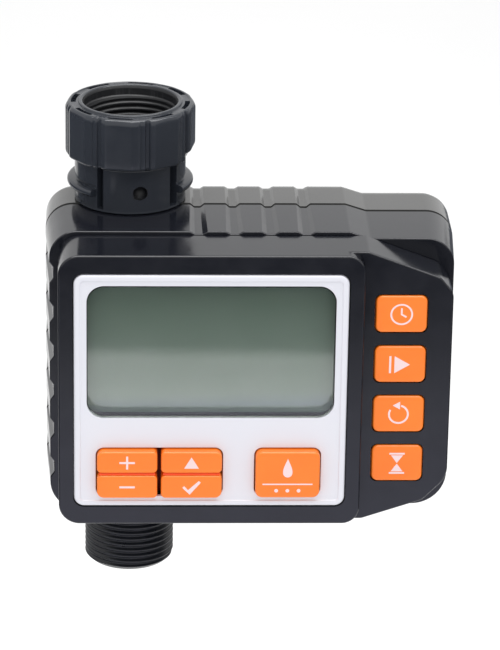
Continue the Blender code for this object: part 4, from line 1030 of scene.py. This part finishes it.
# ---------------------------------------------------------------- stage
def panel(name, size, at, colour, facing=(0.0, 0.0, 0.0), glow=0.0, fade=None):
    """A flat studio surface in one colour, or in the stops of a fade along its length."""
    bm = bmesh.new()
    bmesh.ops.create_grid(bm, x_segments=1, y_segments=1, size=0.5)
    bm.transform(Matrix.Diagonal((size[0], size[1], 1.0, 1.0)))
    mesh = bpy.data.meshes.new(name)
    bm.to_mesh(mesh)
    bm.free()
    sheet = bpy.data.objects.new(name, mesh)
    sheet.location = at
    sheet.rotation_euler = facing
    bpy.context.scene.collection.objects.link(sheet)
    material, tree, shader = graph(name + "_paint")
    if fade:
        coordinates = tree.nodes.new("ShaderNodeTexCoord")
        split = tree.nodes.new("ShaderNodeSeparateXYZ")
        tree.links.new(coordinates.outputs["Generated"], split.inputs["Vector"])
        paint = ramp(tree, split.outputs["Y"], fade)
    else:
        shade = tuple(part * 0.985 for part in colour)
        paint = ramp(tree, noise(tree, 3.0, 2.0).outputs["Fac"], ((0.3, shade), (0.7, colour)))
    tree.links.new(paint, shader.inputs["Base Color"])
    set_input(shader, "Roughness", 0.9)
    set_input(shader, "Specular IOR Level", 0.1)
    if glow:
        set_input(shader, "Emission Color", (*colour, 1.0))
        set_input(shader, "Emission Strength", glow)
    mesh.materials.append(material)
    return sheet


def area(name, size, at, aim, power):
    lamp = bpy.data.lights.new(name, "AREA")
    lamp.shape = "RECTANGLE"
    lamp.size, lamp.size_y = size
    lamp.energy = power
    holder = bpy.data.objects.new(name, lamp)
    holder.location = at
    holder.rotation_euler = (Vector(aim) - Vector(at)).to_track_quat("-Z", "Y").to_euler()
    bpy.context.scene.collection.objects.link(holder)


# Studio flags and cards, seen only in reflections: (name, size, place, rotation, colour, glow, fade)
BLACK = (0.010, 0.010, 0.011)
DIM = (0.15, 0.155, 0.165)
GREY = (0.11, 0.12, 0.14)
COOL = (0.82, 0.82, 1.0)
WHITE = (1.0, 1.0, 1.0)
FLOOR_FADE = ((0.0, BLACK), (0.9528, BLACK), (0.9760, (0.15, 0.16, 0.16)), (0.9805, (0.62, 0.62, 0.62)),
              (0.9955, (0.78, 0.78, 0.79)), (1.0, (0.93, 0.93, 0.95)))
UPRIGHT = (0.0, math.radians(90), 0.0)
FLAGS = (
    ("floor_flag", (3.0, 2.668), (0.0, -2.140, -0.40), (0.0, 0.0, math.radians(1.5)), BLACK, 0.0, FLOOR_FADE),
    ("cool_card", (1.4, 0.6), (0.0, -0.52, -0.41), (0.0, 0.0, math.radians(-3.0)), COOL, 0.0, None),
    ("left_flag", (0.44, 1.2), (-0.50, 0.0, -0.19), UPRIGHT, GREY, 0.0, None),
    ("right_flag", (0.44, 1.6), (0.56, 0.2, -0.19), UPRIGHT, DIM, 0.0, None),
    ("rear_flag", (1.2, 1.4), (0.82, 1.2, -0.40), (0.0, 0.0, 0.0), GREY, 0.0, None),
    ("strip_light", (1.8, 0.5), (0.3, -0.30, 1.0), (0.0, 0.0, 0.0), WHITE, 6.0, None),
)


def make_stage():
    scene = bpy.context.scene
    scene.view_settings.view_transform = "Standard"
    world = bpy.data.worlds.new("studio")
    world.use_nodes = True
    world.node_tree.nodes["Background"].inputs["Color"].default_value = (1.0, 1.0, 1.0, 1.0)
    world.node_tree.nodes["Background"].inputs["Strength"].default_value = 0.95
    scene.world = world
    panel("floor", (12.0, 12.0), (0.0, 2.0, -0.42), (0.93, 0.93, 0.93))
    for name, size, at, facing, colour, glow, fade in FLAGS:
        flag = panel(name, size, at, colour, facing, glow, fade)
        flag.visible_camera = False
        flag.visible_diffuse = False
        flag.visible_shadow = False
    area("overhead", (1.2, 1.2), (0.1, -0.2, 1.1), (0.03, 0.0, -0.07), 12.0)


make_front_casing()
make_rear_casing()
make_bezel()
make_display()
make_keys()
make_nut()
make_collar()
make_outlet()
make_battery_cover()
paint_frame()
make_stage()
